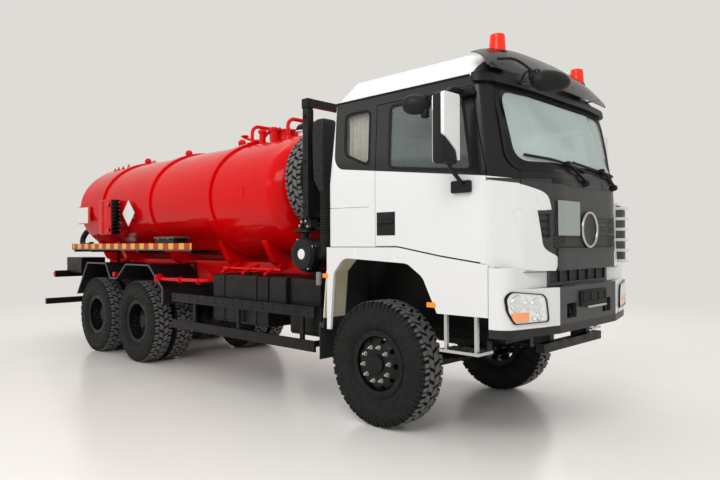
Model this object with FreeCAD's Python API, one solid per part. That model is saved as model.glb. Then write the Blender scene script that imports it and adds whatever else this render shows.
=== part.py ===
import FreeCAD, Part
import math
import os

from FreeCAD import Vector

# Tanker truck, in millimetres. X forward, Y to the left, Z up, ground at Z = 0.
# Everything is drawn from the front axle, and moved to the middle of the length when it is written.

# Overall
front_overhang = 1600.0
wheelbase = 4950.0
bogie_spacing = 1430.0
rear_overhang = 2340.0
vehicle_width = 2490.0
side_wall_y = vehicle_width / 2
axle_2_x = -wheelbase
axle_3_x = -wheelbase - bogie_spacing
bogie_x = (axle_2_x + axle_3_x) / 2
rear_end_x = axle_3_x - rear_overhang
mirror_reach = 1750.0
shift_x = -(mirror_reach + rear_end_x) / 2

# Clearances
cut_overrun = 40.0
seat_gap = 0.3
pin_clearance = 0.05
panel_gap = 7.0
thrust_gap = 1.0

# Wheels
tyre_diameter = 1230.0
tyre_width = 318.0
tyre_shoulder = 70.0
tyre_flank_share = 0.92
rim_seat_radius = 305.0
rim_lip_radius = 327.0
rim_lip = 12.0
rim_wall = 11.0
rim_width = 236.0
rim_well_depth = 26.0
rim_disc = 14.0
front_face_offset = 125.0
twin_face_offset = 171.0
rim_face_radius = 205.0
twin_spacing = 356.0
hand_holes = 10
hand_hole_radius = 26.0
hand_hole_circle = 232.0
stud_circle = 335.0
drum_radius = 212.0
drum_wall = 16.0
drum_width = 190.0
hub_radius = 132.0
hub_cap_radius = 92.0
hub_cap_length = 30.0
rear_hub_cap_length = 46.0
axle_z = tyre_diameter / 2
wheel_edge_y = side_wall_y - 6.0
front_wheel_y = wheel_edge_y - tyre_width / 2
outer_twin_y = wheel_edge_y - tyre_width / 2
inner_twin_y = outer_twin_y - twin_spacing

# Steering
kingpin_y = 890.0
kingpin_radius = 25.0
axle_eye_radius = 55.0
axle_eye_height = 150.0
knuckle_lug = 30.0
knuckle_web = 34.0
spindle_radius = 45.0
spindle_root_radius = 75.0
steer_arm_back = 205.0
steer_arm_thickness = 32.0
steer_arm_width = 56.0
tie_rod_radius = 20.0
tie_pin_radius = 12.0
tie_eye_radius = 30.0

# Axles
beam_width = 90.0
beam_height = 120.0
beam_drop = 90.0
rear_tube_radius = 82.0
rear_bulb_radius = 215.0
rear_spindle_radius = 58.0
rear_tube_half = inner_twin_y - drum_width * 0.75
spring_width = 90.0
spring_y = 420.0
leaf = 17.0
front_spring_half = 760.0
front_spring_leaves = 5
rear_spring_leaves = 7

# Frame
frame_half_width = 425.0
rail_flange = 85.0
rail_wall = 9.0
rail_bottom_z = 960.0
rail_height = 300.0
rail_top_z = rail_bottom_z + rail_height
rail_front_x = 1330.0
rail_rear_x = rear_end_x + 100.0
cross_member_radius = 55.0
cross_member_xs = (-1500.0, -2750.0, -4150.0, bogie_x, -7350.0)
front_cross_x = 1235.0
tow_pin_radius = 21.0
coupling_bore_radius = 25.0

# Cab tilt pivot
tilt_x = 1450.0
tilt_z = 1050.0
tilt_pin_radius = 25.0
tilt_arm_y = 500.0
tilt_arm_width = 60.0
tilt_arm_depth = 90.0
tilt_arm_front_x = 1005.0
tilt_arm_rear_x = 905.0
tilt_arm_low_z = 1150.0
tilt_arm_high_z = 1260.0
tilt_ear = 14.0

# Engine and shafts
engine_length = 1500.0
engine_width = 640.0
engine_bottom_z = 800.0
engine_top_z = 1500.0
engine_front_x = 900.0
gearbox_length = 800.0
gearbox_size = 420.0
mount_foot = 90.0
shaft_radius = 55.0

# Cab
cab_wall = 60.0
cab_panel = 40.0
cab_back_x = -660.0
cab_back_lean = 70.0
cab_corner_x = 1262.0
cab_nose_x = 1582.0
cab_nose_flat_y = 620.0
cab_cheek_x = 1404.0
cab_cheek_y = 989.0
cab_base_z = 1560.0
belt_z = 2400.0
drip_z = 3215.0
roof_z = 3440.0
roof_nose_x = 1258.0
roof_side_y = 1205.0
roof_corner_x = 1150.0
roof_cheek_x = 1215.0
roof_cheek_y = 1118.0
crown_inset = 150.0
cab_corner_radius = 90.0
cab_front_radius = 700.0
cab_back_radius = 90.0
sill_rear_z = 1755.0
sill_bend_x = 300.0
sill_mid_x = 800.0
sill_mid_z = 1672.0
sill_front_z = 1612.0
floor_thickness = 60.0
door_front_x = cab_corner_x - panel_gap / 2
panel_back_x = door_front_x + panel_gap
door_seal = 25.0
door_seal_wall = 15.0
hinge_inset = 6.0
door_turn_radius = 118.0
door_hinge_x = cab_corner_x
door_hinge_y = side_wall_y - hinge_inset
door_rear_x = 30.0
door_top_z = 3120.0
door_top_x = 1105.0
door_depth = 150.0
glass = 6.0
glass_gap = 1.0
window_radius = 70.0
beltline_rear_z = 2545.0
beltline_door_z = 2500.0
beltline_front_z = 2400.0
door_window_rear_x = 200.0
door_window_front_x = 1130.0
door_window_top_x = 1010.0
window_top_z = 3090.0
quarter_rear_x = -400.0
quarter_front_x = -60.0
screen_low_z = 2430.0
screen_high_z = 3150.0
screen_half_low = 1040.0
screen_half_high = 1060.0
front_panel_low_z = 1622.0
front_panel_high_z = 2330.0

# Edge of the grey centre of the front panel as (y, z), from its top corner down to its foot
centre_edge = (
    (1260.0, 2315.0), (979.0, 2291.0), (840.0, 2253.0), (745.0, 2194.0), (712.0, 2100.0), (710.0, 2065.0),
    (930.0, 2060.0), (885.0, 1800.0), (830.0, 1740.0), (700.0, 1685.0), (625.0, 1655.0))
centre_foot_y = 612.0
grille_depth = 22.0
grille_half = 645.0
grille_low_z = 1742.0
grille_high_z = 1858.0
louvre_inner_y = 195.0
louvre_outer_y = 620.0
louvre_low_z = 1884.0
louvre_pitch = 50.0
louvre_height = 28.0
louvre_count = 3
wing_inner_y = 680.0
wing_outer_y = 868.0
wing_low_z = 1830.0
wing_high_z = 2035.0

# Bumper
bumper_low_z = 1000.0
bumper_ledge_z = 1400.0
bumper_top_z = 1578.0
bumper_back_x = 1290.0
bumper_top_x = 1498.0
bumper_wall = 42.0
bumper_flat_y = 600.0
bumper_corner_radius = 150.0
vent_half = 585.0
vent_count = 6
vent_divider = 18.0
vent_low_z = 1432.0
vent_pitch = 38.0
vent_height = 22.0
vent_rows = 3
vent_depth = 24.0
tow_hole_inner_y = 280.0
tow_hole_outer_y = 470.0
tow_hole_low_z = 1120.0
tow_hole_high_z = 1250.0
lamp_inner_y = 790.0
lamp_outer_y = 1090.0
lamp_low_z = 1075.0
lamp_high_z = 1355.0
lamp_depth = 110.0
front_bar_z = 850.0
front_bar_size = 80.0

# Front wheel arch panels
arch_radius = 735.0
arch_front_x = 760.0
arch_front_z = 1170.0
arch_rear_x = -655.0
arch_rear_z = 900.0
arch_lip = 55.0
arch_panel = 30.0
skirt_low_z = 1165.0
liner_wall = 12.0
liner_inner_y = 560.0
flap_x = -800.0
flap_low_z = 560.0
flap_wall = 12.0

# Steps
step_front_x = 1180.0
step_rear_x = 775.0
step_z = 830.0
step_wall = 26.0
step_width = 230.0
step_outer_y = side_wall_y - 15.0
step_hanger = 30.0

# Tanks and boxes below
fuel_rear_x = -2940.0
fuel_front_x = -1790.0
fuel_low_z = 800.0
fuel_high_z = 1400.0
box_outer_y = 1140.0
fuel_inner_y = 480.0
urea_front_x = -1460.0
urea_low_z = 1020.0
silencer_front_x = -920.0
silencer_low_z = 760.0
box_radius = 45.0
bracket_wall = 10.0
bracket_width = 80.0
box_inner_y = 500.0

# Side guards
guard_y = 1215.0
guard_front_x = -880.0
guard_rear_x = -3850.0
guard_upper_z = 1050.0
guard_lower_z = 685.0
guard_rail_height = 118.0
guard_rail = 28.0
guard_post_width = 60.0
guard_post_xs = (-1150.0, -2350.0, -3350.0)

# Rack behind the cab, spare wheel and air intake
rack_x = -1140.0
rack_post_y = 1080.0
rack_tube = 80.0
rack_top_z = 3400.0
rack_base_z = 2080.0
rack_low_z = rail_top_z
spare_y = -530.0
spare_z = 2540.0
stack_x = -880.0
stack_y = -1040.0
stack_radius = 110.0
stack_low_z = 2330.0
stack_high_z = 3140.0
canister_x = -1200.0
canister_y = -1000.0
canister_z = 1670.0
canister_radius = 186.0
canister_length = 290.0

# Tank
tank_half_width = 1060.0
tank_half_height = 820.0
tank_centre_z = 2425.0
tank_front_x = -1950.0
tank_rear_x = -7350.0
head_depth = 400.0
head_rings = 9
head_turn = 84.0
head_flatness_share = 0.9
rib_xs = (-3200.0, -4850.0, -6500.0)
rib_width = 130.0
rib_rise = 28.0
neck_x = -2830.0
neck_radius = 240.0
neck_height = 110.0
lid_radius = 265.0
lid_thickness = 26.0
lid_pin_radius = 10.0
lid_barrel_radius = 18.0
lid_hinge_reach = 30.0
lid_tongue_half = 29.0
lid_ear = 14.0
hoop_tube = 26.0
hoop_xs = (-3230.0, -2430.0)
hoop_half = 300.0
hoop_rise = 235.0
hoop_bend = 110.0
vent_xs = (-3900.0, -5450.0, -6900.0)
vent_radius = 45.0
vent_height = 95.0

# Cradle below the tank
cradle_rail_width = 90.0
cradle_top_z = 1535.0
cradle_front_x = -1900.0
cradle_rear_x = -7600.0
saddle_xs = (-2350.0, -3360.0, -4850.0, -6500.0, -7250.0)
saddle_width = 110.0
saddle_half = 620.0

# Hose trays along the tank
tray_front_x = -3290.0
tray_rear_x = -7260.0
tray_low_z = 1700.0
tray_height = 92.0
tray_depth = 300.0
tray_wall = 8.0
tray_arm = 40.0
tray_arm_xs = (-3360.0, -4850.0, -6500.0, -7200.0)
tray_box_rear_x = -4330.0
tray_box_front_x = -3800.0
tray_box_width = 230.0
tray_box_height = 190.0

# Control box and sign plates
control_rear_x = -6180.0
control_front_x = -5760.0
control_low_z = 1945.0
control_high_z = 2520.0
control_inner_y = 850.0
control_wall = 14.0
sign_x = -5400.0
sign_z = 2280.0
sign_half = 205.0
sign_plate = 5.0
sign_y = 1110.0

# Rear mudguards
mudguard_inner_y = 545.0
mudguard_outer_y = side_wall_y
mudguard_top_z = 1480.0
mudguard_shift = 80.0
mudguard_dip_half = 120.0
mudguard_dip_z = 1250.0
mudguard_knee_z = 1160.0
mudguard_wall = 12.0
mudguard_reach = 770.0
mudguard_flat = 360.0
mudguard_low_z = 930.0

# Rear bars and outlet
underrun_low_z = 640.0
underrun_height = 110.0
underrun_wall = 70.0
underrun_half = 1200.0
lamp_bar_x = -8150.0
lamp_bar_z = 1240.0
lamp_bar_height = 120.0
lamp_bar_wall = 60.0
lamp_bar_half = 1215.0
tail_box_rear_x = -8165.0
tail_box_front_x = -7500.0
tail_box_inner_y = 560.0
tail_box_outer_y = 1000.0
tail_box_low_z = 1270.0
tail_box_high_z = 1550.0
outlet_z = 1780.0
outlet_radius = 75.0
outlet_flange_radius = 140.0
outlet_flange = 24.0
outlet_bolt_circle = 240.0
outlet_bolts = 8
outlet_bolt_radius = 9.0

# Mirrors, visor, beacons
mirror_x = 1070.0
mirror_y = 1500.0
mirror_low_z = 2450.0
mirror_high_z = 3020.0
mirror_width = 235.0
mirror_depth = 120.0
wide_mirror_x = 640.0
wide_mirror_z = 3010.0
wide_mirror_radius = 120.0
mirror_tube = 16.0
visor_low_x = 1265.0
visor_low_z = 3285.0
visor_high_x = 1105.0
visor_end_z = 3420.0
visor_half = 1200.0
visor_sheet = 8.0
visor_bow = 75.0
visor_dip = 20.0
visor_rise = 125.0
visor_belly = 22.0
visor_stations = 13
visor_arm_ys = (260.0, 980.0)
brow_rise = 45.0
brow_low_z = 3155.0
brow_high_z = 3235.0
brow_back_x = 1130.0
close_mirror_y = 730.0
close_mirror_z = 3105.0
close_mirror_half_width = 175.0
close_mirror_half_height = 105.0
close_mirror_depth = 110.0
close_root_x = 1240.0
close_root_z = 3195.0
close_root_y = 850.0
close_root_spread = 75.0
beacon_x = 1080.0
beacon_y = 795.0
beacon_z = 3530.0
beacon_radius = 72.0
beacon_height = 165.0

# Seats and controls
seat_x = 250.0
seat_y = 560.0
seat_width = 520.0
seat_depth = 520.0
seat_cushion = 150.0
seat_base = 330.0
seat_back_height = 720.0
seat_back = 140.0
bunk_depth = 520.0
bunk_height = 420.0
dash_depth = 330.0
dash_high_z = 2380.0
dash_low_z = 1980.0
wheel_hoop_radius = 220.0
wheel_hoop_tube = 16.0
column_radius = 40.0


def box(x0, x1, y0, y1, z0, z1):
    """Box between two corners, whatever order they come in."""
    low = Vector(min(x0, x1), min(y0, y1), min(z0, z1))
    return Part.makeBox(abs(x1 - x0), abs(y1 - y0), abs(z1 - z0), low)


def rod(start, end, radius):
    """Round bar from start to end."""
    span = end.sub(start)
    return Part.makeCylinder(radius, span.Length, start, span)


def flat_bar(start, end, width, height):
    """Level bar from start to end, its underside at the height of both."""
    along = end.sub(start)
    along.normalize()
    across = Vector(-along.y, along.x, 0).multiply(width / 2)
    corners = [start.add(across), start.sub(across), end.sub(across), end.add(across)]
    face = Part.Face(Part.makePolygon(corners + [corners[0]]))
    return face.extrude(Vector(0, 0, height))


def mirrored(shape):
    """The same shape on the other side of the vehicle."""
    return shape.mirror(Vector(0, 0, 0), Vector(0, 1, 0))


def pair(shape):
    """Both sides as two solids."""
    return Part.makeCompound([shape, mirrored(shape)])


def rounded(points, radii):
    """Closed wire through points, each corner rounded by an arc of its own radius."""
    count = len(points)
    edges = []
    starts = []
    ends = []
    mids = []
    for i in range(count):
        here = points[i]
        back = points[i - 1].sub(here)
        ahead = points[(i + 1) % count].sub(here)
        radius = radii[i]
        if radius <= 0:
            starts.append(here)
            ends.append(here)
            mids.append(None)
            continue
        back.normalize()
        ahead.normalize()
        half = back.getAngle(ahead) / 2
        reach = radius / math.tan(half)
        middle = back.add(ahead)
        middle.normalize()
        centre = here.add(middle.multiply(radius / math.sin(half)))
        starts.append(here.add(back.multiply(reach)))
        ends.append(here.add(ahead.multiply(reach)))
        inward = here.sub(centre)
        inward.normalize()
        mids.append(centre.add(inward.multiply(radius)))
    for i in range(count):
        if mids[i] is not None:
            edges.append(Part.Arc(starts[i], mids[i], ends[i]).toShape())
        after = starts[(i + 1) % count]
        if ends[i].sub(after).Length > seat_gap / 100:
            edges.append(Part.LineSegment(ends[i], after).toShape())
    return Part.Wire(edges)


def pulled_in(outline, inset):
    """Closed outline of (a, b) pairs, each side moved inward by inset."""
    count = len(outline)
    area = sum(outline[i - 1][0] * outline[i][1] - outline[i][0] * outline[i - 1][1] for i in range(count))
    turn = math.copysign(1, area)
    lines = []
    for i in range(count):
        a0, b0 = outline[i - 1]
        a1, b1 = outline[i]
        length = math.hypot(a1 - a0, b1 - b0)
        da = (a1 - a0) / length
        db = (b1 - b0) / length
        lines.append((a0 - turn * db * inset, b0 + turn * da * inset, da, db))
    moved = []
    for i in range(count):
        a0, b0, da, db = lines[i]
        a1, b1, ea, eb = lines[(i + 1) % count]
        cross = da * eb - db * ea
        along = ((a1 - a0) * eb - (b1 - b0) * ea) / cross
        moved.append((a0 + da * along, b0 + db * along))
    return moved


def plate_xz(outline, radii, y0, y1):
    """Plate whose outline is a list of (x, z), from y0 to y1."""
    points = [Vector(x, y0, z) for x, z in outline]
    face = Part.Face(rounded(points, radii))
    return face.extrude(Vector(0, y1 - y0, 0))


def plate_yz(outline, radii, x0, x1):
    """Plate whose outline is a list of (y, z), from x0 to x1."""
    points = [Vector(x0, y, z) for y, z in outline]
    face = Part.Face(rounded(points, radii))
    return face.extrude(Vector(x1 - x0, 0, 0))


def revolve_y(profile, y0):
    """Ring about the Y axis through the origin from (radius, y) points, with y from y0."""
    points = [Vector(r, y0 + y, 0) for r, y in profile]
    points.append(points[0])
    face = Part.Face(Part.makePolygon(points))
    return face.revolve(Vector(0, 0, 0), Vector(0, 1, 0), 360)


def at(shape, x, y, z):
    """The shape moved by x, y, z."""
    moved = shape.copy()
    moved.translate(Vector(x, y, z))
    return moved


def fuse(shapes):
    """One solid of all the shapes."""
    return shapes[0].multiFuse(shapes[1:]).removeSplitter()


def group(shapes):
    """Several solids that do not touch."""
    return Part.makeCompound(shapes)


# Wheels


def tyre(centre_y):
    """Tyre with rounded shoulders about the Y axis, its middle at centre_y."""
    outer = tyre_diameter / 2
    bead = rim_seat_radius + seat_gap
    half = tyre_width / 2
    foot = rim_width / 2 - rim_lip - seat_gap
    lip = rim_lip_radius + seat_gap
    flank = bead + (outer - bead) * tyre_flank_share / 2
    a = Vector(bead, -foot, 0)
    b = Vector(lip, -foot, 0)
    c = Vector(flank, -half, 0)
    d = Vector(outer - tyre_shoulder, -half + tyre_shoulder / 4, 0)
    e = Vector(outer, -half + tyre_shoulder, 0)
    bulge = Vector((lip + flank) / 2, -(foot + half * 2) / 3, 0)
    corner = Vector(outer - tyre_shoulder / 4, -half + tyre_shoulder * 0.45, 0)
    side = [
        Part.LineSegment(a, b).toShape(),
        Part.Arc(b, bulge, c).toShape(),
        Part.LineSegment(c, d).toShape(),
        Part.Arc(d, corner, e).toShape(),
    ]
    other = [edge.mirror(Vector(0, 0, 0), Vector(0, 1, 0)) for edge in side]
    crown = Part.LineSegment(e, Vector(e.x, -e.y, 0)).toShape()
    base = Part.LineSegment(a, Vector(a.x, -a.y, 0)).toShape()
    ordered = Part.sortEdges(side + [crown] + other + [base])[0]
    ring = Part.Face(Part.Wire(ordered)).revolve(Vector(0, 0, 0), Vector(0, 1, 0), 360)
    return at(ring, 0, centre_y, 0)


def rim(centre_y, face_y):
    """Wheel rim about the Y axis: a barrel with two lips and a pierced dished disc out to face_y."""
    half = rim_width / 2
    seat = rim_seat_radius
    inner = seat - rim_well_depth - rim_wall
    side = math.copysign(1, face_y - centre_y)
    barrel = revolve_y([
        (inner, -half), (rim_lip_radius, -half), (rim_lip_radius, -half + rim_lip),
        (seat, -half + rim_lip), (seat, half - rim_lip), (rim_lip_radius, half - rim_lip),
        (rim_lip_radius, half), (inner, half)], centre_y)
    foot = half - rim_lip * 3
    face = (face_y - centre_y) * side
    dish = revolve_y([
        (inner + rim_wall / 2, side * foot), (inner + rim_wall / 2, side * (foot - rim_disc * 2)),
        (rim_face_radius, side * (face - rim_disc)), (hub_cap_radius, side * (face - rim_disc)),
        (hub_cap_radius, side * face), (rim_face_radius + rim_disc / 2, side * face)], centre_y)
    for i in range(hand_holes):
        angle = 2 * math.pi * i / hand_holes
        spot = Vector(hand_hole_circle * math.cos(angle), centre_y, hand_hole_circle * math.sin(angle))
        dish = dish.cut(Part.makeCylinder(hand_hole_radius, face + rim_disc, spot, Vector(0, side, 0)))
    return barrel.fuse(dish)


def drum(open_y, bore):
    """Brake drum and hub about the Y axis, open at open_y, closed drum_width further out."""
    close_y = open_y + drum_width
    shell = Part.makeCylinder(drum_radius, drum_width, Vector(0, open_y, 0), Vector(0, 1, 0))
    inside = Part.makeCylinder(drum_radius - drum_wall, drum_width - drum_wall, Vector(0, open_y, 0), Vector(0, 1, 0))
    shell = shell.cut(inside)
    hub = Part.makeCylinder(hub_radius, drum_width - drum_wall, Vector(0, open_y + drum_wall, 0), Vector(0, 1, 0))
    hole = Part.makeCylinder(bore, drum_width + cut_overrun, Vector(0, open_y - cut_overrun / 2, 0), Vector(0, 1, 0))
    return shell.fuse(hub).cut(hole), close_y


def front_rim():
    """Front wheel on the left: outset disc, brake drum and hub cap."""
    face_y = front_wheel_y + front_face_offset
    open_y = face_y - rim_disc - drum_width
    bore = spindle_radius + pin_clearance
    carrier, close_y = drum(open_y, bore)
    cap = Part.makeCylinder(hub_cap_radius, hub_cap_length, Vector(0, close_y, 0), Vector(0, 1, 0))
    room = Part.makeCylinder(bore, drum_width + rim_disc, Vector(0, open_y, 0), Vector(0, 1, 0))
    solid = fuse([rim(front_wheel_y, face_y), carrier, cap])
    return solid.cut(room)


def twin_rims():
    """Twin wheels on the left: two inset discs back to back on one hub."""
    middle = (outer_twin_y + inner_twin_y) / 2
    outer = rim(outer_twin_y, outer_twin_y - twin_spacing / 2)
    inner = rim(inner_twin_y, inner_twin_y + twin_spacing / 2)
    open_y = middle - rim_disc - drum_width
    bore = rear_spindle_radius + pin_clearance
    carrier, close_y = drum(open_y, bore)
    neck = Part.makeCylinder(hub_radius, twin_face_offset, Vector(0, close_y, 0), Vector(0, 1, 0))
    cap_y = close_y + twin_face_offset
    cap = Part.makeCylinder(hub_cap_radius, rear_hub_cap_length, Vector(0, cap_y, 0), Vector(0, 1, 0))
    room = Part.makeCylinder(bore, cap_y - open_y, Vector(0, open_y, 0), Vector(0, 1, 0))
    return fuse([outer, inner, carrier, neck, cap]).cut(room)


def twin_tyres():
    """Two tyres side by side on the left."""
    return group([tyre(outer_twin_y), tyre(inner_twin_y)])


# Steering and axles


def kingpin_eye(radius, z0, z1):
    """Upright cylinder on the left kingpin."""
    return Part.makeCylinder(radius, z1 - z0, Vector(0, kingpin_y, z0))


def front_axle():
    """Dropped beam with an eye for each kingpin and a pad for each spring."""
    eye_low = axle_z - axle_eye_height / 2
    eye_high = axle_z + axle_eye_height / 2
    beam_low = axle_z - beam_drop - beam_height / 2
    beam_high = beam_low + beam_height
    pad_y = spring_y + spring_width
    outline = [
        (-kingpin_y, eye_low), (-pad_y, beam_low), (pad_y, beam_low), (kingpin_y, eye_low),
        (kingpin_y, eye_high), (pad_y, beam_high), (-pad_y, beam_high), (-kingpin_y, eye_high)]
    beam = plate_yz(outline, [0] * len(outline), -beam_width / 2, beam_width / 2)
    eye = kingpin_eye(axle_eye_radius, eye_low, eye_high)
    pad = box(-beam_width, beam_width, spring_y - spring_width / 2, spring_y + spring_width / 2,
              beam_high - leaf, beam_high + leaf)
    solid = fuse([beam, eye, mirrored(eye), pad, mirrored(pad)])
    room = kingpin_eye(axle_eye_radius * 2, eye_high, eye_high + beam_height)
    below = kingpin_eye(axle_eye_radius * 2, eye_low - beam_height, eye_low)
    hole = kingpin_eye(kingpin_radius + pin_clearance, eye_low - cut_overrun, eye_high + cut_overrun)
    for cutter in (hole, room, below):
        solid = solid.cut(cutter).cut(mirrored(cutter))
    return solid


def knuckle():
    """Left steering knuckle: two lugs round the axle eye, kingpin, spindle and steering arm."""
    eye_low = axle_z - axle_eye_height / 2 - thrust_gap
    eye_high = axle_z + axle_eye_height / 2 + thrust_gap
    web_in = kingpin_y + axle_eye_radius + panel_gap
    web_out = web_in + knuckle_web
    parts = [kingpin_eye(kingpin_radius, eye_low - knuckle_lug, eye_high + knuckle_lug)]
    for low in (eye_low - knuckle_lug, eye_high):
        parts.append(kingpin_eye(axle_eye_radius, low, low + knuckle_lug))
        parts.append(box(-axle_eye_radius, axle_eye_radius, kingpin_y, web_out, low, low + knuckle_lug))
    parts.append(box(-axle_eye_radius, axle_eye_radius, web_in, web_out, eye_low - knuckle_lug, eye_high + knuckle_lug))
    tip_y = front_wheel_y + front_face_offset - rim_disc * 2
    parts.append(rod(Vector(0, web_in, axle_z), Vector(0, tip_y, axle_z), spindle_radius))
    arm_z = eye_low - knuckle_lug
    arm_y = kingpin_y
    parts.append(box(-axle_eye_radius, axle_eye_radius, kingpin_y - steer_arm_width / 2,
                     kingpin_y + steer_arm_width / 2, arm_z - steer_arm_thickness, arm_z))
    start = Vector(0, kingpin_y, arm_z - steer_arm_thickness)
    end = Vector(-steer_arm_back, arm_y, arm_z - steer_arm_thickness)
    parts.append(flat_bar(start, end, steer_arm_thickness, steer_arm_thickness))
    parts.append(Part.makeCylinder(tie_eye_radius, steer_arm_thickness,
                                   Vector(-steer_arm_back, arm_y, arm_z - steer_arm_thickness)))
    parts.append(Part.makeCylinder(tie_pin_radius, steer_arm_thickness * 3,
                                   Vector(-steer_arm_back, arm_y, arm_z - steer_arm_thickness * 3)))
    return fuse(parts)


def tie_rod():
    """Rod across the axle behind it, with an eye on each arm's pin."""
    pin_y = kingpin_y
    arm_low = axle_z - axle_eye_height / 2 - thrust_gap - knuckle_lug - steer_arm_thickness
    low = arm_low - thrust_gap - steer_arm_thickness
    middle = low + steer_arm_thickness / 2
    bar = rod(Vector(-steer_arm_back, -pin_y, middle), Vector(-steer_arm_back, pin_y, middle), tie_rod_radius * 0.75)
    parts = [bar]
    for side in (-1, 1):
        parts.append(Part.makeCylinder(tie_eye_radius, steer_arm_thickness, Vector(-steer_arm_back, side * pin_y, low)))
    solid = fuse(parts)
    for side in (-1, 1):
        hole = Part.makeCylinder(tie_pin_radius + pin_clearance, steer_arm_thickness + cut_overrun,
                                 Vector(-steer_arm_back, side * pin_y, low - cut_overrun / 2))
        solid = solid.cut(hole)
    return solid


def rear_axle(x):
    """Driven axle: middle housing, tubes, spring pads and a spindle each side."""
    middle = (outer_twin_y + inner_twin_y) / 2
    spindle_end = middle + twin_face_offset - rim_disc * 2
    bulb = Part.makeSphere(rear_bulb_radius, Vector(0, 0, axle_z))
    tube = rod(Vector(0, -rear_tube_half, axle_z), Vector(0, rear_tube_half, axle_z), rear_tube_radius)
    spindle = rod(Vector(0, -spindle_end, axle_z), Vector(0, spindle_end, axle_z), rear_spindle_radius)
    nose = rod(Vector(0, 0, axle_z), Vector(rear_bulb_radius * 1.6, 0, axle_z), rear_bulb_radius / 2)
    pad = box(-spring_width, spring_width, spring_y - spring_width / 2, spring_y + spring_width / 2,
              axle_z, axle_z + rear_tube_radius + leaf)
    return at(fuse([bulb, tube, spindle, nose, pad, mirrored(pad)]), x, 0, 0)


def leaf_stack(x, half, leaves, low_z, sign):
    """Stack of leaves on the left that gets shorter away from the main leaf."""
    slabs = []
    for i in range(leaves):
        reach = half * (1 - i * 0.14)
        z = low_z + leaf * (leaves - 1 - i) if sign > 0 else low_z + leaf * i
        slabs.append(box(x - reach, x + reach, spring_y - spring_width / 2, spring_y + spring_width / 2, z, z + leaf))
    return fuse(slabs)


def leaf_springs():
    """Front springs on the beam, and bogie springs that rest on both rear axles."""
    beam_high = axle_z - beam_drop + beam_height / 2 + leaf
    front = leaf_stack(0, front_spring_half, front_spring_leaves, beam_high, 1)
    eye_z = beam_high + leaf * (front_spring_leaves - 1)
    hangers = []
    for end in (-front_spring_half, front_spring_half):
        hangers.append(box(end - leaf, end + leaf, spring_y - spring_width / 2, spring_y + spring_width / 2,
                           eye_z, rail_bottom_z))
    front = fuse([front] + hangers)
    pad_top = axle_z + rear_tube_radius + leaf
    rear = leaf_stack(bogie_x, bogie_spacing / 2 + spring_width, rear_spring_leaves, pad_top, -1)
    saddle = box(bogie_x - spring_width, bogie_x + spring_width, spring_y - spring_width / 2,
                 spring_y + spring_width / 2, pad_top + leaf * rear_spring_leaves, rail_bottom_z)
    rear = fuse([rear, saddle])
    return group([front, mirrored(front), rear, mirrored(rear)])


# Frame


def rail():
    """Left side member, a channel that opens inward."""
    y_out = frame_half_width
    y_in = frame_half_width - rail_flange
    solid = box(rail_rear_x, rail_front_x, y_in, y_out, rail_bottom_z, rail_top_z)
    hollow = box(rail_rear_x - cut_overrun, rail_front_x + cut_overrun, y_in - cut_overrun, y_out - rail_wall,
                 rail_bottom_z + rail_wall, rail_top_z - rail_wall)
    return solid.cut(hollow)


def frame_rails():
    """Two channels, round cross members, tilt pins and end members, in one piece."""
    middle = (rail_bottom_z + rail_top_z) / 2
    parts = [rail(), mirrored(rail())]
    inner = frame_half_width - rail_wall / 2
    for x in cross_member_xs:
        parts.append(rod(Vector(x, -inner, middle), Vector(x, inner, middle), cross_member_radius))
    parts.append(box(front_cross_x - cross_member_radius, rail_front_x, -inner, inner,
                     rail_bottom_z, rail_bottom_z + cross_member_radius * 2))
    parts.append(box(rail_rear_x, rail_rear_x + cross_member_radius, -inner, inner, rail_bottom_z, rail_top_z))
    arm_in = tilt_arm_y - tilt_arm_width / 2
    ear_y = frame_half_width
    for side in (-1, 1):
        parts.append(plate_xz([
            (rail_front_x - rail_height, rail_bottom_z), (tilt_x, tilt_z - tilt_pin_radius * 2),
            (tilt_x + tilt_pin_radius * 2, tilt_z), (tilt_x, tilt_z + tilt_pin_radius * 2),
            (rail_front_x - rail_height, rail_top_z)], [0, 20, 20, 20, 0],
            side * (ear_y - rail_wall), side * (ear_y + tilt_ear)))
        parts.append(rod(Vector(tilt_x, side * ear_y, tilt_z),
                         Vector(tilt_x, side * (arm_in + tilt_arm_width + tilt_ear), tilt_z), tilt_pin_radius))
    solid = fuse(parts)
    solid = fuse([solid, front_bar()])
    coupling = rod(Vector(rail_rear_x - cut_overrun, 0, middle), Vector(rail_rear_x + rail_height, 0, middle),
                   coupling_bore_radius)
    tow = rod(Vector(rail_front_x - cross_member_radius, 0, rail_bottom_z - cut_overrun),
              Vector(rail_front_x - cross_member_radius, 0, rail_bottom_z + rail_height), tow_pin_radius)
    return solid.cut(coupling).cut(tow)


def engine_block():
    """Engine as one plain block with feet on the rails, and the gearbox behind it."""
    rear = engine_front_x - engine_length
    half = engine_width / 2
    block = box(rear, engine_front_x, -half, half, engine_bottom_z, engine_top_z)
    parts = [block]
    for x in (engine_front_x - mount_foot * 2, rear + mount_foot):
        parts.append(box(x, x + mount_foot, -frame_half_width + rail_wall, frame_half_width - rail_wall,
                         rail_top_z + seat_gap, rail_top_z + mount_foot / 2))
    low = engine_bottom_z + mount_foot
    parts.append(box(rear - gearbox_length, rear, -gearbox_size / 2, gearbox_size / 2, low, low + gearbox_size))
    return fuse(parts)


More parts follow.
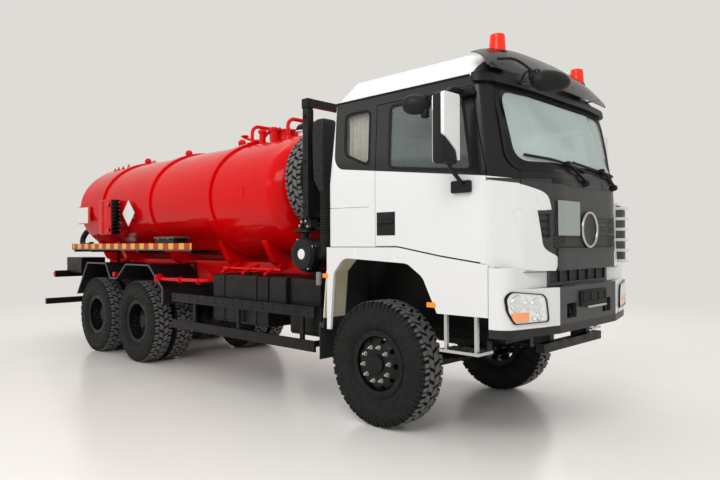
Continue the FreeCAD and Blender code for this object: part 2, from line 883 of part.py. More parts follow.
def propeller_shafts():
    """Shafts from the gearbox to the two driven axles."""
    gearbox_rear = engine_front_x - engine_length - gearbox_length
    start_z = engine_bottom_z + mount_foot * 2
    nose = rear_bulb_radius * 1.6
    over = shaft_radius / 2
    first = rod(Vector(gearbox_rear + over, 0, start_z), Vector(axle_2_x + nose - over, 0, axle_z), shaft_radius)
    second = rod(Vector(axle_2_x - rear_bulb_radius / 2, 0, axle_z), Vector(axle_3_x + nose, 0, axle_z), shaft_radius)
    ends = [engine_block(), rear_axle(axle_2_x)]
    shafts = [rod_piece.cut(ends[0]).cut(ends[1]) for rod_piece in (first, second)]
    return group([max(piece.Solids, key=lambda solid: solid.Volume) for piece in shafts])


# Cab


def cab_plan(inset, nose, side, corner_x, cheek_x, cheek_y, back, z):
    """Rounded outline of the cab seen from above, pulled in by inset."""
    half = [(back, side), (corner_x, side), (cheek_x, cheek_y), (nose, cab_nose_flat_y)]
    outline = pulled_in(half + [(x, -y) for x, y in reversed(half)], inset)
    points = [Vector(x, y, z) for x, y in outline]
    corner = max(cab_corner_radius - inset, glass)
    back_corner = max(cab_back_radius - inset, glass)
    radii = [back_corner, corner, corner, cab_front_radius - inset]
    return rounded(points, radii + list(reversed(radii)))


def cab_form(inset):
    """Outer form of the cab from below the sill to the crown, pulled in by inset."""
    low = cab_plan(inset, cab_nose_x, side_wall_y, cab_corner_x, cab_cheek_x + cab_wall, cab_cheek_y,
                   cab_back_x, cab_base_z - cut_overrun)
    belt = cab_plan(inset, cab_nose_x, side_wall_y, cab_corner_x, cab_cheek_x, cab_cheek_y,
                    cab_back_x, belt_z)
    drip = cab_plan(inset, roof_nose_x, roof_side_y, roof_corner_x, roof_cheek_x, roof_cheek_y,
                    cab_back_x + cab_back_lean, drip_z)
    crown = cab_plan(inset, roof_nose_x - crown_inset, roof_side_y - crown_inset, roof_corner_x - crown_inset,
                     roof_cheek_x - crown_inset, roof_cheek_y - crown_inset,
                     cab_back_x + cab_back_lean + crown_inset, roof_z - inset)
    lower = Part.makeLoft([low, belt], True, True)
    middle = Part.makeLoft([belt, drip], True, True)
    upper = Part.makeLoft([drip, crown], True, True)
    return lower.fuse(middle).fuse(upper)


def below_sill(rise):
    """Block under the cab, its top along the sill line raised by rise."""
    outline = [
        (cab_back_x - rail_height, sill_rear_z + rise), (sill_bend_x, sill_rear_z + rise),
        (sill_mid_x, sill_mid_z + rise), (panel_back_x, sill_front_z + rise),
        (front_overhang + rail_height, sill_front_z + rise), (front_overhang + rail_height, rail_bottom_z),
        (cab_back_x - rail_height, rail_bottom_z)]
    return plate_xz(outline, [0] * len(outline), -side_wall_y - cut_overrun, side_wall_y + cut_overrun)


def door_outline(grow):
    """Door seen from the side, grown by grow."""
    return [
        (door_rear_x - grow, sill_rear_z + panel_gap - grow), (sill_bend_x, sill_rear_z + panel_gap - grow),
        (sill_mid_x, sill_mid_z + panel_gap - grow), (door_front_x + grow, sill_front_z + panel_gap - grow),
        (door_front_x + grow, beltline_front_z), (door_top_x + grow, door_top_z + grow),
        (door_rear_x - grow, door_top_z + grow)]


def door_window():
    """Window in the door seen from the side."""
    return [
        (door_window_rear_x, beltline_door_z), (door_window_front_x, beltline_front_z),
        (door_window_top_x, window_top_z), (door_window_rear_x, window_top_z)]


def quarter_window():
    """Small window behind the door seen from the side."""
    return [
        (quarter_rear_x, beltline_rear_z + window_radius * 2), (quarter_front_x, beltline_rear_z),
        (quarter_front_x, window_top_z), (quarter_rear_x, window_top_z)]


def side_prism(outline, radius, y_in):
    """Prism through the left side wall with the outline given as (x, z)."""
    return plate_xz(outline, [radius] * len(outline), y_in, side_wall_y + cut_overrun)


def screen_prism(shrink):
    """Prism along X through the windscreen, smaller by shrink."""
    outline = [
        (-screen_half_low + shrink, screen_low_z + shrink), (screen_half_low - shrink, screen_low_z + shrink),
        (screen_half_high - shrink, screen_high_z - shrink), (-screen_half_high + shrink, screen_high_z - shrink)]
    return plate_yz(outline, [window_radius * 2] * len(outline), cab_corner_x - rail_height,
                    front_overhang + cut_overrun)


def centre_prism():
    """Prism along X through the grey centre of the front panel."""
    top = front_panel_high_z + cut_overrun
    half = [(centre_edge[0][0], top)] + list(centre_edge) + [(centre_foot_y, front_panel_low_z - cut_overrun)]
    outline = half + [(-y, z) for y, z in reversed(half)]
    return plate_yz(outline, [0] * len(outline), panel_back_x - cut_overrun, front_overhang + cut_overrun)


def shrunk(outline, by):
    """Four-cornered outline pulled in by the given amount."""
    middle_x = sum(x for x, z in outline) / len(outline)
    middle_z = sum(z for x, z in outline) / len(outline)
    inner = []
    for x, z in outline:
        inner.append((x + math.copysign(by, middle_x - x), z + math.copysign(by, middle_z - z)))
    return inner


def door_sweep():
    """Room that the thick front edge of the left door turns through about its hinge."""
    turn = Part.makeCylinder(door_turn_radius, drip_z - cab_base_z,
                             Vector(door_hinge_x, door_hinge_y, cab_base_z))
    return turn.common(side_prism(door_outline(panel_gap), 0, door_hinge_y - door_turn_radius - cut_overrun))


class Cab:
    """Shapes that several cab pieces are cut from."""

    def __init__(self):
        self.outer = cab_form(0.0)
        self.inner = cab_form(cab_wall)
        self.glass_out = cab_form(glass)
        self.glass_in = cab_form(glass * 2)
        self.sill = below_sill(0.0)
        self.floor = below_sill(floor_thickness)
        self.wall = self.outer.cut(self.inner)

    def shell(self):
        """Side walls, back wall, pillars and floor, below the roof and behind the front panel."""
        solid = self.outer.cut(self.inner.cut(self.floor)).cut(self.sill)
        roof_cut = box(cab_back_x - cut_overrun, front_overhang + cut_overrun, -side_wall_y, side_wall_y,
                       drip_z, roof_z + cut_overrun)
        solid = solid.cut(roof_cut)
        panel = box(panel_back_x, front_overhang + cut_overrun, -side_wall_y, side_wall_y,
                    cab_base_z - cut_overrun, front_panel_high_z)
        firewall_x = panel_back_x - cab_wall
        solid = solid.cut(panel)
        firewall = box(firewall_x, panel_back_x, -side_wall_y + cab_wall, side_wall_y - cab_wall,
                       sill_front_z + floor_thickness / 2, front_panel_high_z)
        solid = solid.fuse(firewall)
        shelf = self.outer.common(box(firewall_x, front_overhang, -side_wall_y, side_wall_y,
                                      front_panel_high_z, front_panel_high_z + cab_wall))
        solid = solid.fuse(shelf)
        solid = solid.cut(screen_prism(0.0))
        for turn in (False, True):
            doorway = side_prism(door_outline(panel_gap), 0, side_wall_y - door_depth)
            quarter = side_prism(quarter_window(), window_radius, side_wall_y - cab_wall * 3)
            if turn:
                doorway = mirrored(doorway)
                quarter = mirrored(quarter)
            solid = solid.cut(doorway).cut(quarter)
        seal = self.door_seal()
        arms = [seal, mirrored(seal)]
        for side in (-1, 1):
            arm = plate_xz([
                (tilt_x - tilt_arm_depth / 2, tilt_z - tilt_arm_depth / 2),
                (tilt_x + tilt_arm_depth / 2, tilt_z - tilt_arm_depth / 2),
                (tilt_x + tilt_arm_depth / 2, tilt_z + tilt_arm_depth / 2),
                (tilt_arm_front_x, tilt_arm_high_z), (tilt_arm_front_x, sill_mid_z),
                (tilt_arm_rear_x, sill_mid_z), (tilt_arm_rear_x, tilt_arm_low_z)],
                [20, 40, 40, 40, 0, 0, 60], side * (tilt_arm_y - tilt_arm_width / 2),
                side * (tilt_arm_y + tilt_arm_width / 2))
            arms.append(arm)
        turn = door_sweep()
        solid = fuse([solid] + arms).cut(turn).cut(mirrored(turn))
        hole = rod(Vector(tilt_x, -side_wall_y, tilt_z), Vector(tilt_x, side_wall_y, tilt_z),
                   tilt_pin_radius + pin_clearance)
        return solid.cut(hole)

    def door_seal(self):
        """Frame inside the left doorway that the door closes against."""
        back = cab_form(cab_wall + door_seal_wall)
        lip = cab_form(cab_wall + seat_gap).cut(back)
        root = cab_form(cab_wall - door_seal_wall).cut(back)
        deep = side_wall_y - door_depth
        inside = side_prism(door_outline(-door_seal), 0, deep)
        around = side_prism(door_outline(door_seal), 0, deep)
        step = side_prism(door_outline(panel_gap), 0, deep)
        limit = box(cab_back_x, panel_back_x, deep, side_wall_y, cab_base_z, drip_z)
        ring = lip.common(around.cut(inside)).fuse(root.common(around.cut(step)))
        return ring.common(limit).cut(self.sill)

    def roof(self):
        """Domed roof panel above the drip rail."""
        lid = self.wall.common(box(cab_back_x - cut_overrun, front_overhang, -side_wall_y, side_wall_y,
                                   drip_z, roof_z + cut_overrun))
        return lid

    def nose(self):
        """Whole skin of the cab's front below the windscreen."""
        room = box(panel_back_x, front_overhang + cut_overrun, -side_wall_y, side_wall_y,
                   front_panel_low_z, front_panel_high_z)
        return self.outer.cut(cab_form(cab_panel)).common(room)

    def front_panel(self):
        """Grey centre of the front, with its grille pocket, louvres and side recesses."""
        pocket = self.outer.cut(cab_form(grille_depth))
        holes = [box(panel_back_x, front_overhang, -grille_half, grille_half, grille_low_z, grille_high_z)]
        for side in (-1, 1):
            low, high = sorted((side * wing_inner_y, side * wing_outer_y))
            holes.append(box(panel_back_x, front_overhang, low, high, wing_low_z, wing_high_z))
            low, high = sorted((side * louvre_inner_y, side * louvre_outer_y))
            for i in range(louvre_count):
                z = louvre_low_z + louvre_pitch * i
                holes.append(box(panel_back_x, front_overhang, low, high, z, z + louvre_height))
        return self.nose().common(centre_prism()).cut(pocket.common(fuse(holes)))

    def cheeks(self):
        """White skins on both sides of the grey centre."""
        return self.nose().cut(centre_prism())

    def glass(self):
        """Windscreen and both quarter windows."""
        skin = self.glass_out.cut(self.glass_in)
        screen = skin.common(screen_prism(glass_gap))
        quarter = skin.common(side_prism(shrunk(quarter_window(), glass_gap), window_radius,
                                         side_wall_y - cab_wall * 3))
        return group([screen, quarter, mirrored(quarter)])

    def door(self):
        """Left door with its window cut out."""
        solid = self.wall.common(side_prism(door_outline(0.0), 0, side_wall_y - door_depth))
        return solid.cut(side_prism(door_window(), window_radius, side_wall_y - cab_wall * 4))

    def door_glass(self):
        """Left door glass."""
        skin = self.glass_out.cut(self.glass_in)
        return skin.common(side_prism(shrunk(door_window(), glass_gap), window_radius, side_wall_y - cab_wall * 4))


def mirror_set():
    """Left mirrors: tall housing and round wide-angle one on two arms off the door."""
    body = box(mirror_x - mirror_depth / 2, mirror_x + mirror_depth / 2, mirror_y - mirror_width / 2,
               mirror_y + mirror_width / 2, mirror_low_z, mirror_high_z)
    body = body.makeFillet(mirror_depth / 4, body.Edges)
    wide = Part.makeCylinder(wide_mirror_radius, mirror_depth / 2,
                             Vector(wide_mirror_x, mirror_y - mirror_width / 2, wide_mirror_z), Vector(-1, 0, 0))
    top = Vector(mirror_x, mirror_y, mirror_high_z + mirror_tube * 3)
    reach = Vector(wide_mirror_x - mirror_depth / 4, mirror_y - mirror_width / 2, wide_mirror_z)
    lean = (side_wall_y - roof_side_y) * (top.z - mirror_tube - belt_z) / (drip_z - belt_z)
    root = Vector(mirror_x, side_wall_y - lean + seat_gap, top.z)
    foot = Vector(mirror_x, side_wall_y + mirror_tube * 1.5, beltline_front_z - mirror_tube * 8)
    low = Vector(mirror_x, mirror_y, mirror_low_z - mirror_tube * 2)
    parts = [
        body, wide,
        rod(root, top, mirror_tube), rod(top, Vector(mirror_x, mirror_y, mirror_high_z - mirror_tube), mirror_tube),
        rod(top, reach, mirror_tube),
        rod(foot, low, mirror_tube), rod(low, Vector(mirror_x, mirror_y, mirror_low_z + mirror_tube), mirror_tube),
        box(mirror_x - mirror_tube * 4, mirror_x + mirror_tube * 4, side_wall_y + seat_gap,
            side_wall_y + mirror_tube * 2, beltline_front_z - mirror_tube * 12, beltline_front_z - mirror_tube * 5),
    ]
    return fuse(parts)


def visor_section(place):
    """Upright curved section of the visor at a signed share of its half width."""
    bow = 1 - place ** 2
    low = Vector(visor_low_x + visor_bow * bow, place * visor_half, visor_low_z - visor_dip * bow)
    high = Vector(visor_high_x + visor_bow * bow, low.y, visor_end_z + visor_rise * (1 - place ** 4))
    middle = low.add(high).multiply(0.5).add(Vector(visor_belly, 0, visor_belly))
    back = Vector(-visor_sheet, 0, -visor_sheet)
    edges = [
        Part.Arc(low, middle, high).toShape(),
        Part.LineSegment(high, high.add(back)).toShape(),
        Part.Arc(high.add(back), middle.add(back), low.add(back)).toShape(),
        Part.LineSegment(low.add(back), low).toShape(),
    ]
    return Part.Wire(edges)


def sun_visor():
    """Smoked shell over the windscreen, bowed forward and upward in the middle, on four arms."""
    places = [2 * i / (visor_stations - 1) - 1 for i in range(visor_stations)]
    shell = Part.makeLoft([visor_section(place) for place in places], True, False)
    arm_z = visor_low_z + mirror_tube * 2
    parts = [shell]
    for side in (-1, 1):
        for y in visor_arm_ys:
            bow = visor_bow * (1 - (y / visor_half) ** 2)
            arm = box(roof_cheek_x - crown_inset * 2, visor_low_x + bow - visor_sheet, side * y - mirror_tube / 2,
                      side * y + mirror_tube / 2, arm_z, arm_z + mirror_tube)
            parts.append(max(arm.cut(cab.outer).Solids, key=lambda piece: piece.BoundBox.XMax))
    return fuse(parts)


def roof_brow():
    """Black brow that wraps round the front of the cab above the windscreen."""
    ring = cab_form(-brow_rise).cut(cab_form(-seat_gap))
    return ring.common(box(brow_back_x, front_overhang, -side_wall_y, side_wall_y, brow_low_z, brow_high_z))


def front_mirror():
    """Oval close-up mirror on tubes from the right end of the brow."""
    centre = Vector(mirror_reach - close_mirror_depth, -close_mirror_y, close_mirror_z)
    rim_line = Part.Ellipse(Vector(0, 0, 0), close_mirror_half_width, close_mirror_half_height).toShape()
    face = Part.Face(Part.Wire([rim_line]))
    housing = face.extrude(Vector(0, 0, close_mirror_depth))
    housing = housing.makeFillet(close_mirror_depth * 0.5, [housing.Edges[2]])
    housing.rotate(Vector(0, 0, 0), Vector(1, 0, 0), 90)
    housing.rotate(Vector(0, 0, 0), Vector(0, 0, 1), 90)
    housing = at(housing, centre.x, centre.y, centre.z)
    elbow = Vector(close_root_x + crown_inset, -close_root_y, close_root_z + close_root_spread)
    tube = mirror_tube * 0.7
    parts = [housing, rod(elbow, centre.add(Vector(close_mirror_depth / 3, 0, 0)), tube)]
    cab_and_brow = cab_form(-brow_rise - seat_gap)
    for side in (-1, 1):
        root = Vector(close_root_x, -close_root_y + side * close_root_spread, close_root_z)
        leg = rod(root, elbow, tube * 0.9).cut(cab_and_brow)
        parts.append(max(leg.Solids, key=lambda piece: piece.Volume))
    return fuse(parts)


def beacons():
    """Two flashing lamps on the roof."""
    lamp = Part.makeCone(beacon_radius, beacon_radius * 0.85, beacon_height, Vector(beacon_x, beacon_y, beacon_z))
    stand = Part.makeCylinder(beacon_radius * 0.6, beacon_z - drip_z, Vector(beacon_x, beacon_y, drip_z))
    return pair(fuse([lamp, stand]).cut(cab.outer))


def seat():
    """Left seat: pedestal, cushion and backrest."""
    floor_z = sill_rear_z + floor_thickness
    half = seat_width / 2
    pedestal = box(seat_x - seat_depth / 3, seat_x + seat_depth / 3, seat_y - half / 2, seat_y + half / 2,
                   floor_z, floor_z + seat_base)
    cushion = box(seat_x - seat_depth / 2, seat_x + seat_depth / 2, seat_y - half, seat_y + half,
                  floor_z + seat_base, floor_z + seat_base + seat_cushion)
    rest = box(seat_x - seat_depth / 2 - seat_back, seat_x - seat_depth / 2, seat_y - half, seat_y + half,
               floor_z + seat_base, floor_z + seat_base + seat_back_height)
    return fuse([pedestal, cushion, rest])


def bunk():
    """Padded locker across the back of the cab."""
    floor_z = sill_rear_z + floor_thickness
    back = cab_back_x + cab_wall + panel_gap
    return box(back, back + bunk_depth * 0.6, -roof_side_y + cab_wall * 2, roof_side_y - cab_wall * 2,
               floor_z, floor_z + bunk_height)


def dashboard():
    """Dashboard across the cab with the steering column and wheel."""
    front = panel_back_x - cab_wall
    half = door_hinge_y - door_turn_radius - panel_gap * 2
    top = box(front - dash_depth, front, -half, half, dash_low_z, dash_high_z)
    centre = Vector(front - dash_depth * 1.35, seat_y, dash_high_z + column_radius)
    root = Vector(front - dash_depth / 2, seat_y, dash_low_z + column_radius * 2)
    axis = centre.sub(root)
    hoop = Part.makeTorus(wheel_hoop_radius, wheel_hoop_tube, centre, axis)
    column = rod(root, centre, column_radius)
    spokes = []
    for sign in (-1, 1):
        tip = centre.add(Vector(0, sign * wheel_hoop_radius, 0))
        spokes.append(rod(centre, tip, wheel_hoop_tube * 0.8))
    return fuse([top, column, hoop] + spokes)


# Bumper and front wheel arches


def bumper_plan(inset, nose, z):
    """Rounded outline of the bumper seen from above, its back edge left in place."""
    half = [
        (bumper_back_x + inset, side_wall_y), (cab_cheek_x + bumper_wall, side_wall_y),
        (nose, bumper_flat_y)]
    outline = pulled_in(half + [(x, -y) for x, y in reversed(half)], inset)
    outline = [(x - 2 * inset if x < bumper_back_x + 2.5 * inset and inset > 0 else x, y) for x, y in outline]
    points = [Vector(x, y, z) for x, y in outline]
    corner = max(bumper_corner_radius - inset, glass)
    radii = [0, corner, bumper_corner_radius]
    return rounded(points, radii + list(reversed(radii)))


def lamp_prism(shrink, grow):
    """Prism along X for the left headlamp."""
    outline = [
        (lamp_inner_y + shrink, lamp_low_z + shrink), (lamp_outer_y - shrink, lamp_low_z + shrink),
        (lamp_outer_y - shrink, lamp_high_z - shrink), (lamp_inner_y + shrink, lamp_high_z - shrink)]
    return plate_yz(outline, [40] * 4, bumper_back_x, front_overhang + grow)


def bumper_body(inset):
    """Bumper form between its lower edge and ledge with the set-back top, pulled in by inset."""
    low = bumper_plan(inset, front_overhang, bumper_low_z)
    ledge = bumper_plan(inset, front_overhang, bumper_ledge_z)
    lower = Part.makeLoft([low, ledge], True, True)
    top_low = bumper_plan(inset, bumper_top_x, bumper_ledge_z - bumper_wall)
    top_high = bumper_plan(inset, bumper_top_x, bumper_top_z)
    return lower.fuse(Part.makeLoft([top_low, top_high], True, True))


def bumper_holes():
    """Rows of vents in the set-back top, and the two square holes for the towing eyes."""
    holes = []
    width = 2 * vent_half / vent_count
    for i in range(vent_count):
        y = width * i - vent_half
        for j in range(vent_rows):
            z = vent_low_z + vent_pitch * j
            holes.append(box(bumper_top_x - vent_depth, bumper_top_x + cut_overrun, y + vent_divider / 2,
                             y + width - vent_divider / 2, z, z + vent_height))
    for side in (-1, 1):
        low, high = sorted((side * tow_hole_inner_y, side * tow_hole_outer_y))
        holes.append(box(front_overhang - bumper_wall * 2, front_overhang + cut_overrun, low, high,
                         tow_hole_low_z, tow_hole_high_z))
    return group(holes)


def front_bumper():
    """Hollow bumper, open at the back, with a pocket for each headlamp and two brackets to the rails."""
    outer = bumper_body(0.0)
    inner = bumper_body(bumper_wall)
    hollow = inner.common(box(bumper_back_x - cut_overrun, front_overhang, -side_wall_y, side_wall_y,
                              bumper_low_z - cut_overrun, bumper_top_z + cut_overrun))
    parts = [outer.cut(hollow)]
    for side in (-1, 1):
        parts.append(box(rail_front_x + seat_gap, front_overhang - bumper_wall / 2,
                         side * (frame_half_width - rail_flange), side * (frame_half_width - rail_wall),
                         tilt_z + rail_flange, tow_hole_high_z + rail_flange))
    pocket = lamp_prism(0.0, cut_overrun)
    return fuse(parts).cut(pocket).cut(mirrored(pocket)).cut(bumper_holes())


def headlights():
    """Lamp unit in each bumper pocket."""
    outer = bumper_body(seat_gap * 10)
    inner = bumper_body(bumper_wall * 1.5)
    unit = outer.cut(inner).common(lamp_prism(seat_gap, cut_overrun))
    return pair(unit)


def front_bar():
    """Tube across below the bumper on two brackets."""
    half = bumper_flat_y
    x = rail_front_x + front_bar_size
    bar = box(x - front_bar_size / 2, x + front_bar_size / 2, -half, half,
              front_bar_z - front_bar_size / 2, front_bar_z + front_bar_size / 2)
    arms = []
    for side in (-1, 1):
        arms.append(box(rail_front_x - rail_flange, x, side * (frame_half_width - rail_flange),
                        side * (frame_half_width - rail_wall), front_bar_z, rail_bottom_z))
    return fuse([bar] + arms)


def front_fender():
    """Left wheel arch panel under the cab side, with the skirt in front of the arch."""
    top = -panel_gap
    outline = [
        (cab_back_x, sill_rear_z + top), (sill_bend_x, sill_rear_z + top), (sill_mid_x, sill_mid_z + top),
        (cab_corner_x, sill_front_z + top), (bumper_back_x - panel_gap, sill_front_z + top),
        (bumper_back_x - panel_gap, skirt_low_z), (arch_front_x, skirt_low_z),
        (600.0, 1480.0), (420.0, 1600.0), (-420.0, 1640.0), (-560.0, 1480.0), (-610.0, arch_rear_z),
        (cab_back_x, arch_rear_z)]
    radii = [0, 0, 0, 0, 0, 0, 10, 150, 150, 150, 100, 0, 0]
    panel = plate_xz(outline, radii, side_wall_y - arch_panel, side_wall_y)
    return panel


def arch_liner():
    """Left wheel housing behind the arch panel, with the mudflap hung behind it."""
    y0 = liner_inner_y
    y1 = side_wall_y - arch_panel - seat_gap
    top_z = 1655.0
    outer = [
        (-760.0, arch_rear_z), (-700.0, 1500.0), (-520.0, top_z + liner_wall), (380.0, top_z - 30.0 + liner_wall),
        (700.0, 1420.0), (775.0, skirt_low_z)]
    inner = [(x * 0.985, z - liner_wall) if z > arch_rear_z and z > skirt_low_z else
             (x + math.copysign(liner_wall, -x), z) for x, z in outer]
    loop = outer + list(reversed(inner))
    sheet = plate_xz(loop, [0] * len(loop), y0, y1)
    flap = box(flap_x - flap_wall, flap_x, y0 + rail_flange, y1, flap_low_z, arch_rear_z + arch_lip)
    stay = box(flap_x - flap_wall, -745.0, y0 + rail_flange, y1, arch_rear_z, arch_rear_z + arch_lip)
    hanger = box(-760.0, -700.0, frame_half_width, y0 + rail_flange, rail_bottom_z + rail_wall, 1100.0)
    return fuse([sheet, flap, stay, hanger])


def entry_step():
    """Left step on two hangers below the skirt."""
    plate = box(step_rear_x, step_front_x, step_outer_y - step_width, step_outer_y, step_z, step_z + step_wall)
    parts = [plate]
    for x in (step_rear_x + step_hanger, step_front_x - step_hanger * 2):
        parts.append(box(x, x + step_hanger, step_outer_y - step_hanger * 2, step_outer_y - step_hanger,
                         step_z, skirt_low_z + step_hanger * 2))
        parts.append(box(x, x + step_hanger, step_outer_y - step_hanger * 2, side_wall_y - arch_panel,
                         skirt_low_z, skirt_low_z + step_hanger * 2))
    return fuse(parts)


# Boxes below the tank


def side_box(rear, front, inner, outer, low, high):
    """Closed box with rounded long edges, and straps to the frame."""
    outline = [(inner, low), (outer, low), (outer, high), (inner, high)]
    return plate_yz(outline, [box_radius] * 4, rear, front)


def strap(x, inner):
    """Bracket from the rail to a side box."""
    return box(x, x + bracket_width, frame_half_width, inner, rail_bottom_z + rail_wall, rail_top_z - rail_wall)


def fuel_tank():
    """Fuel tank on the right with two brackets to the rail."""
    body = side_box(fuel_rear_x, fuel_front_x, fuel_inner_y, box_outer_y, fuel_low_z, fuel_high_z)
    parts = [body]
    for x in (fuel_rear_x + bracket_width, fuel_front_x - bracket_width * 2):
        parts.append(strap(x, fuel_inner_y))
    return mirrored(fuse(parts))


def urea_tank():
    """Urea tank on the right between the fuel tank and the silencer."""
    body = side_box(fuel_front_x + panel_gap * 4, urea_front_x, box_inner_y, box_outer_y, urea_low_z, fuel_high_z)
    return mirrored(fuse([body, strap(urea_front_x - bracket_width * 2, box_inner_y)]))


def silencer():
    """Silencer on the right and battery box on the left."""
    body = side_box(urea_front_x + panel_gap * 4, silencer_front_x, box_inner_y, box_outer_y - box_radius,
                    silencer_low_z, fuel_high_z)
    right = mirrored(fuse([body, strap(silencer_front_x - bracket_width * 2, box_inner_y)]))
    battery = side_box(fuel_front_x, silencer_front_x, box_inner_y, box_outer_y, fuel_low_z, fuel_high_z)
    left = fuse([battery, strap(silencer_front_x - bracket_width * 2, box_inner_y)])
    return group([right, left])


def side_guard():
    """Left side guard: two rails on posts that reach in to the frame."""
    y0 = guard_y - guard_rail / 2
    y1 = guard_y + guard_rail / 2
    parts = []
    for z in (guard_lower_z, guard_upper_z):
        parts.append(box(guard_rear_x, guard_front_x, y0, y1, z - guard_rail_height / 2, z + guard_rail_height / 2))
    for x in guard_post_xs:
        parts.append(box(x, x + guard_post_width, y0 - guard_rail, y0, guard_lower_z - guard_rail_height / 2,
                         guard_upper_z + guard_rail_height / 2))
    low = silencer_low_z - guard_post_width - panel_gap
    for x in (guard_post_xs[0], guard_post_xs[2]):
        parts.append(box(x, x + guard_post_width, frame_half_width + seat_gap, y0, low - guard_post_width, low))
        parts.append(box(x, x + guard_post_width, frame_half_width + seat_gap,
                         frame_half_width + guard_rail, low - guard_post_width, rail_bottom_z + rail_wall * 3))
    return fuse(parts)


# Behind the cab


def spare_rack():
    """Portal of square tube with a carrier for the spare wheel and a shelf plate."""
    parts = []
    for side in (-1, 1):
        parts.append(box(rack_x - rack_tube / 2, rack_x + rack_tube / 2, side * (rack_post_y - rack_tube / 2),
                         side * (rack_post_y + rack_tube / 2), rack_base_z, rack_top_z))
        parts.append(box(rack_x - rack_tube / 2, rack_x + rack_tube / 2, side * (frame_half_width - rack_tube),
                         side * frame_half_width, rack_low_z, rack_base_z + rack_tube))
    half = rack_post_y + rack_tube / 2
    for z in (rack_base_z, rack_top_z - rack_tube):
        parts.append(box(rack_x - rack_tube / 2, rack_x + rack_tube / 2, -half, half, z, z + rack_tube))
    parts.append(box(rack_x - rack_tube / 2, rack_x + rack_tube / 2, spare_y - rack_tube / 2, spare_y + rack_tube / 2,
                     rack_base_z, rack_top_z))
    parts.append(box(rack_x - rack_tube / 2, rack_x + rack_tube / 2, -half, half,
                     spare_z - rack_tube / 2, spare_z + rack_tube / 2))
    return fuse(parts)


def spare_wheel():
    """Spare tyre and rim with their axis along X behind the rack."""
    wheel_rim = rim(0.0, front_face_offset)
    boss = Part.makeCylinder(hub_radius, tyre_width / 2 - front_face_offset,
                             Vector(0, front_face_offset, 0), Vector(0, 1, 0))
    parts = [tyre(0), wheel_rim.fuse(boss)]
    solids = []
    for part in parts:
        part.rotate(Vector(0, 0, 0), Vector(0, 0, 1), -90)
        solids.append(at(part, rack_x - rack_tube / 2 - seat_gap - tyre_width / 2, spare_y, spare_z))
    return group(solids)


def air_intake():
    """Intake stack at the cab's right rear corner, filter canister below it and the duct between."""
    stack = box(stack_x - stack_radius, stack_x + stack_radius / 2, stack_y - stack_radius / 2,
                stack_y + stack_radius, stack_low_z, stack_high_z)
    can_end = canister_y + canister_length / 2
    can = rod(Vector(canister_x, canister_y - canister_length / 2, canister_z),
              Vector(canister_x, can_end, canister_z), canister_radius)
    duct = rod(Vector(stack_x - stack_radius / 4, stack_y + stack_radius / 4, canister_z),
               Vector(stack_x - stack_radius / 4, stack_y + stack_radius / 4, stack_low_z + cut_overrun),
               stack_radius * 0.6)
    bend = rod(Vector(canister_x, stack_y + stack_radius / 4, canister_z),
               Vector(stack_x - stack_radius / 4, stack_y + stack_radius / 4, canister_z), stack_radius * 0.6)
    x0 = canister_x - bracket_width
    arm_low = canister_z - canister_radius - bracket_wall * 6
    in_y = rail_flange / 2 - frame_half_width
    arm = box(x0, x0 + bracket_width, can_end - bracket_wall * 4, in_y, arm_low, arm_low + bracket_wall * 3)
    foot = box(x0, x0 + bracket_width, -frame_half_width, in_y, rail_top_z + seat_gap, arm_low)
    post = box(x0, x0 + bracket_width, can_end - bracket_wall * 4, can_end - bracket_wall, arm_low, canister_z)
    return fuse([stack, can, duct, bend, arm, foot, post])


# Tank


def ellipse_prism(x0, x1, grow):
    """Elliptical block of the tank section, larger by grow."""
    return Part.Face(tank_ring(x0, 1.0, grow)).extrude(Vector(x1 - x0, 0, 0))


def tank_ring(x, scale, grow):
    """Elliptical wire of the tank section at x, scaled about its middle and then grown."""
    curve = Part.Ellipse(Vector(0, 0, 0), tank_half_width * scale + grow, tank_half_height * scale + grow)
    wire = Part.Wire(curve.toShape())
    wire.Placement = FreeCAD.Placement(Vector(x, 0, tank_centre_z),
                                       FreeCAD.Rotation(Vector(0, 1, 0), Vector(0, 0, 1), Vector(1, 0, 0)))
    return wire


def tank_head(x, sign, grow):
    """Dished end of the tank: rings that close along a rounded shoulder, then a small flat middle."""
    rings = []
    for i in range(head_rings):
        angle = math.radians(head_turn) * i / (head_rings - 1)
        depth = (head_depth + grow) * math.sin(angle) ** head_flatness_share
        rings.append(tank_ring(x + sign * depth, math.cos(angle), grow))
    return Part.makeLoft(rings, True, False)


def tank_form(grow):
    """Whole outer form of the tank without its ribs, grown by grow."""
    barrel = ellipse_prism(tank_rear_x, tank_front_x, grow)
    return fuse([barrel, tank_head(tank_front_x, 1, grow), tank_head(tank_rear_x, -1, grow)])


def tank_shell():
    """Elliptical tank with domed ends and raised ribs."""
    parts = [tank_form(0.0)]
    for x in rib_xs:
        parts.append(ellipse_prism(x - rib_width / 2, x + rib_width / 2, rib_rise))
    return fuse(parts)


def neck_top():
    """Height of the manhole rim."""
    return tank_centre_z + tank_half_height + neck_height


def guard_hoop(x, top):
    """Bent tube across the top of the tank with its feet in the shell."""
    high = top + hoop_rise
    foot = top - hoop_rise
    half = hoop_half
    bend = hoop_bend
    parts = [rod(Vector(x, bend - half, high), Vector(x, half - bend, high), hoop_tube)]
    for side in (-1, 1):
        y = side * half
        parts.append(rod(Vector(x, y, foot), Vector(x, y, high - bend), hoop_tube))
        ring = Part.Face(Part.Wire(Part.Circle(Vector(x, y, high - bend), Vector(0, 0, 1), hoop_tube).toShape()))
        middle = Vector(x, y - side * bend, high - bend)
        parts.append(ring.revolve(middle, Vector(side, 0, 0), 90))
    return fuse(parts)


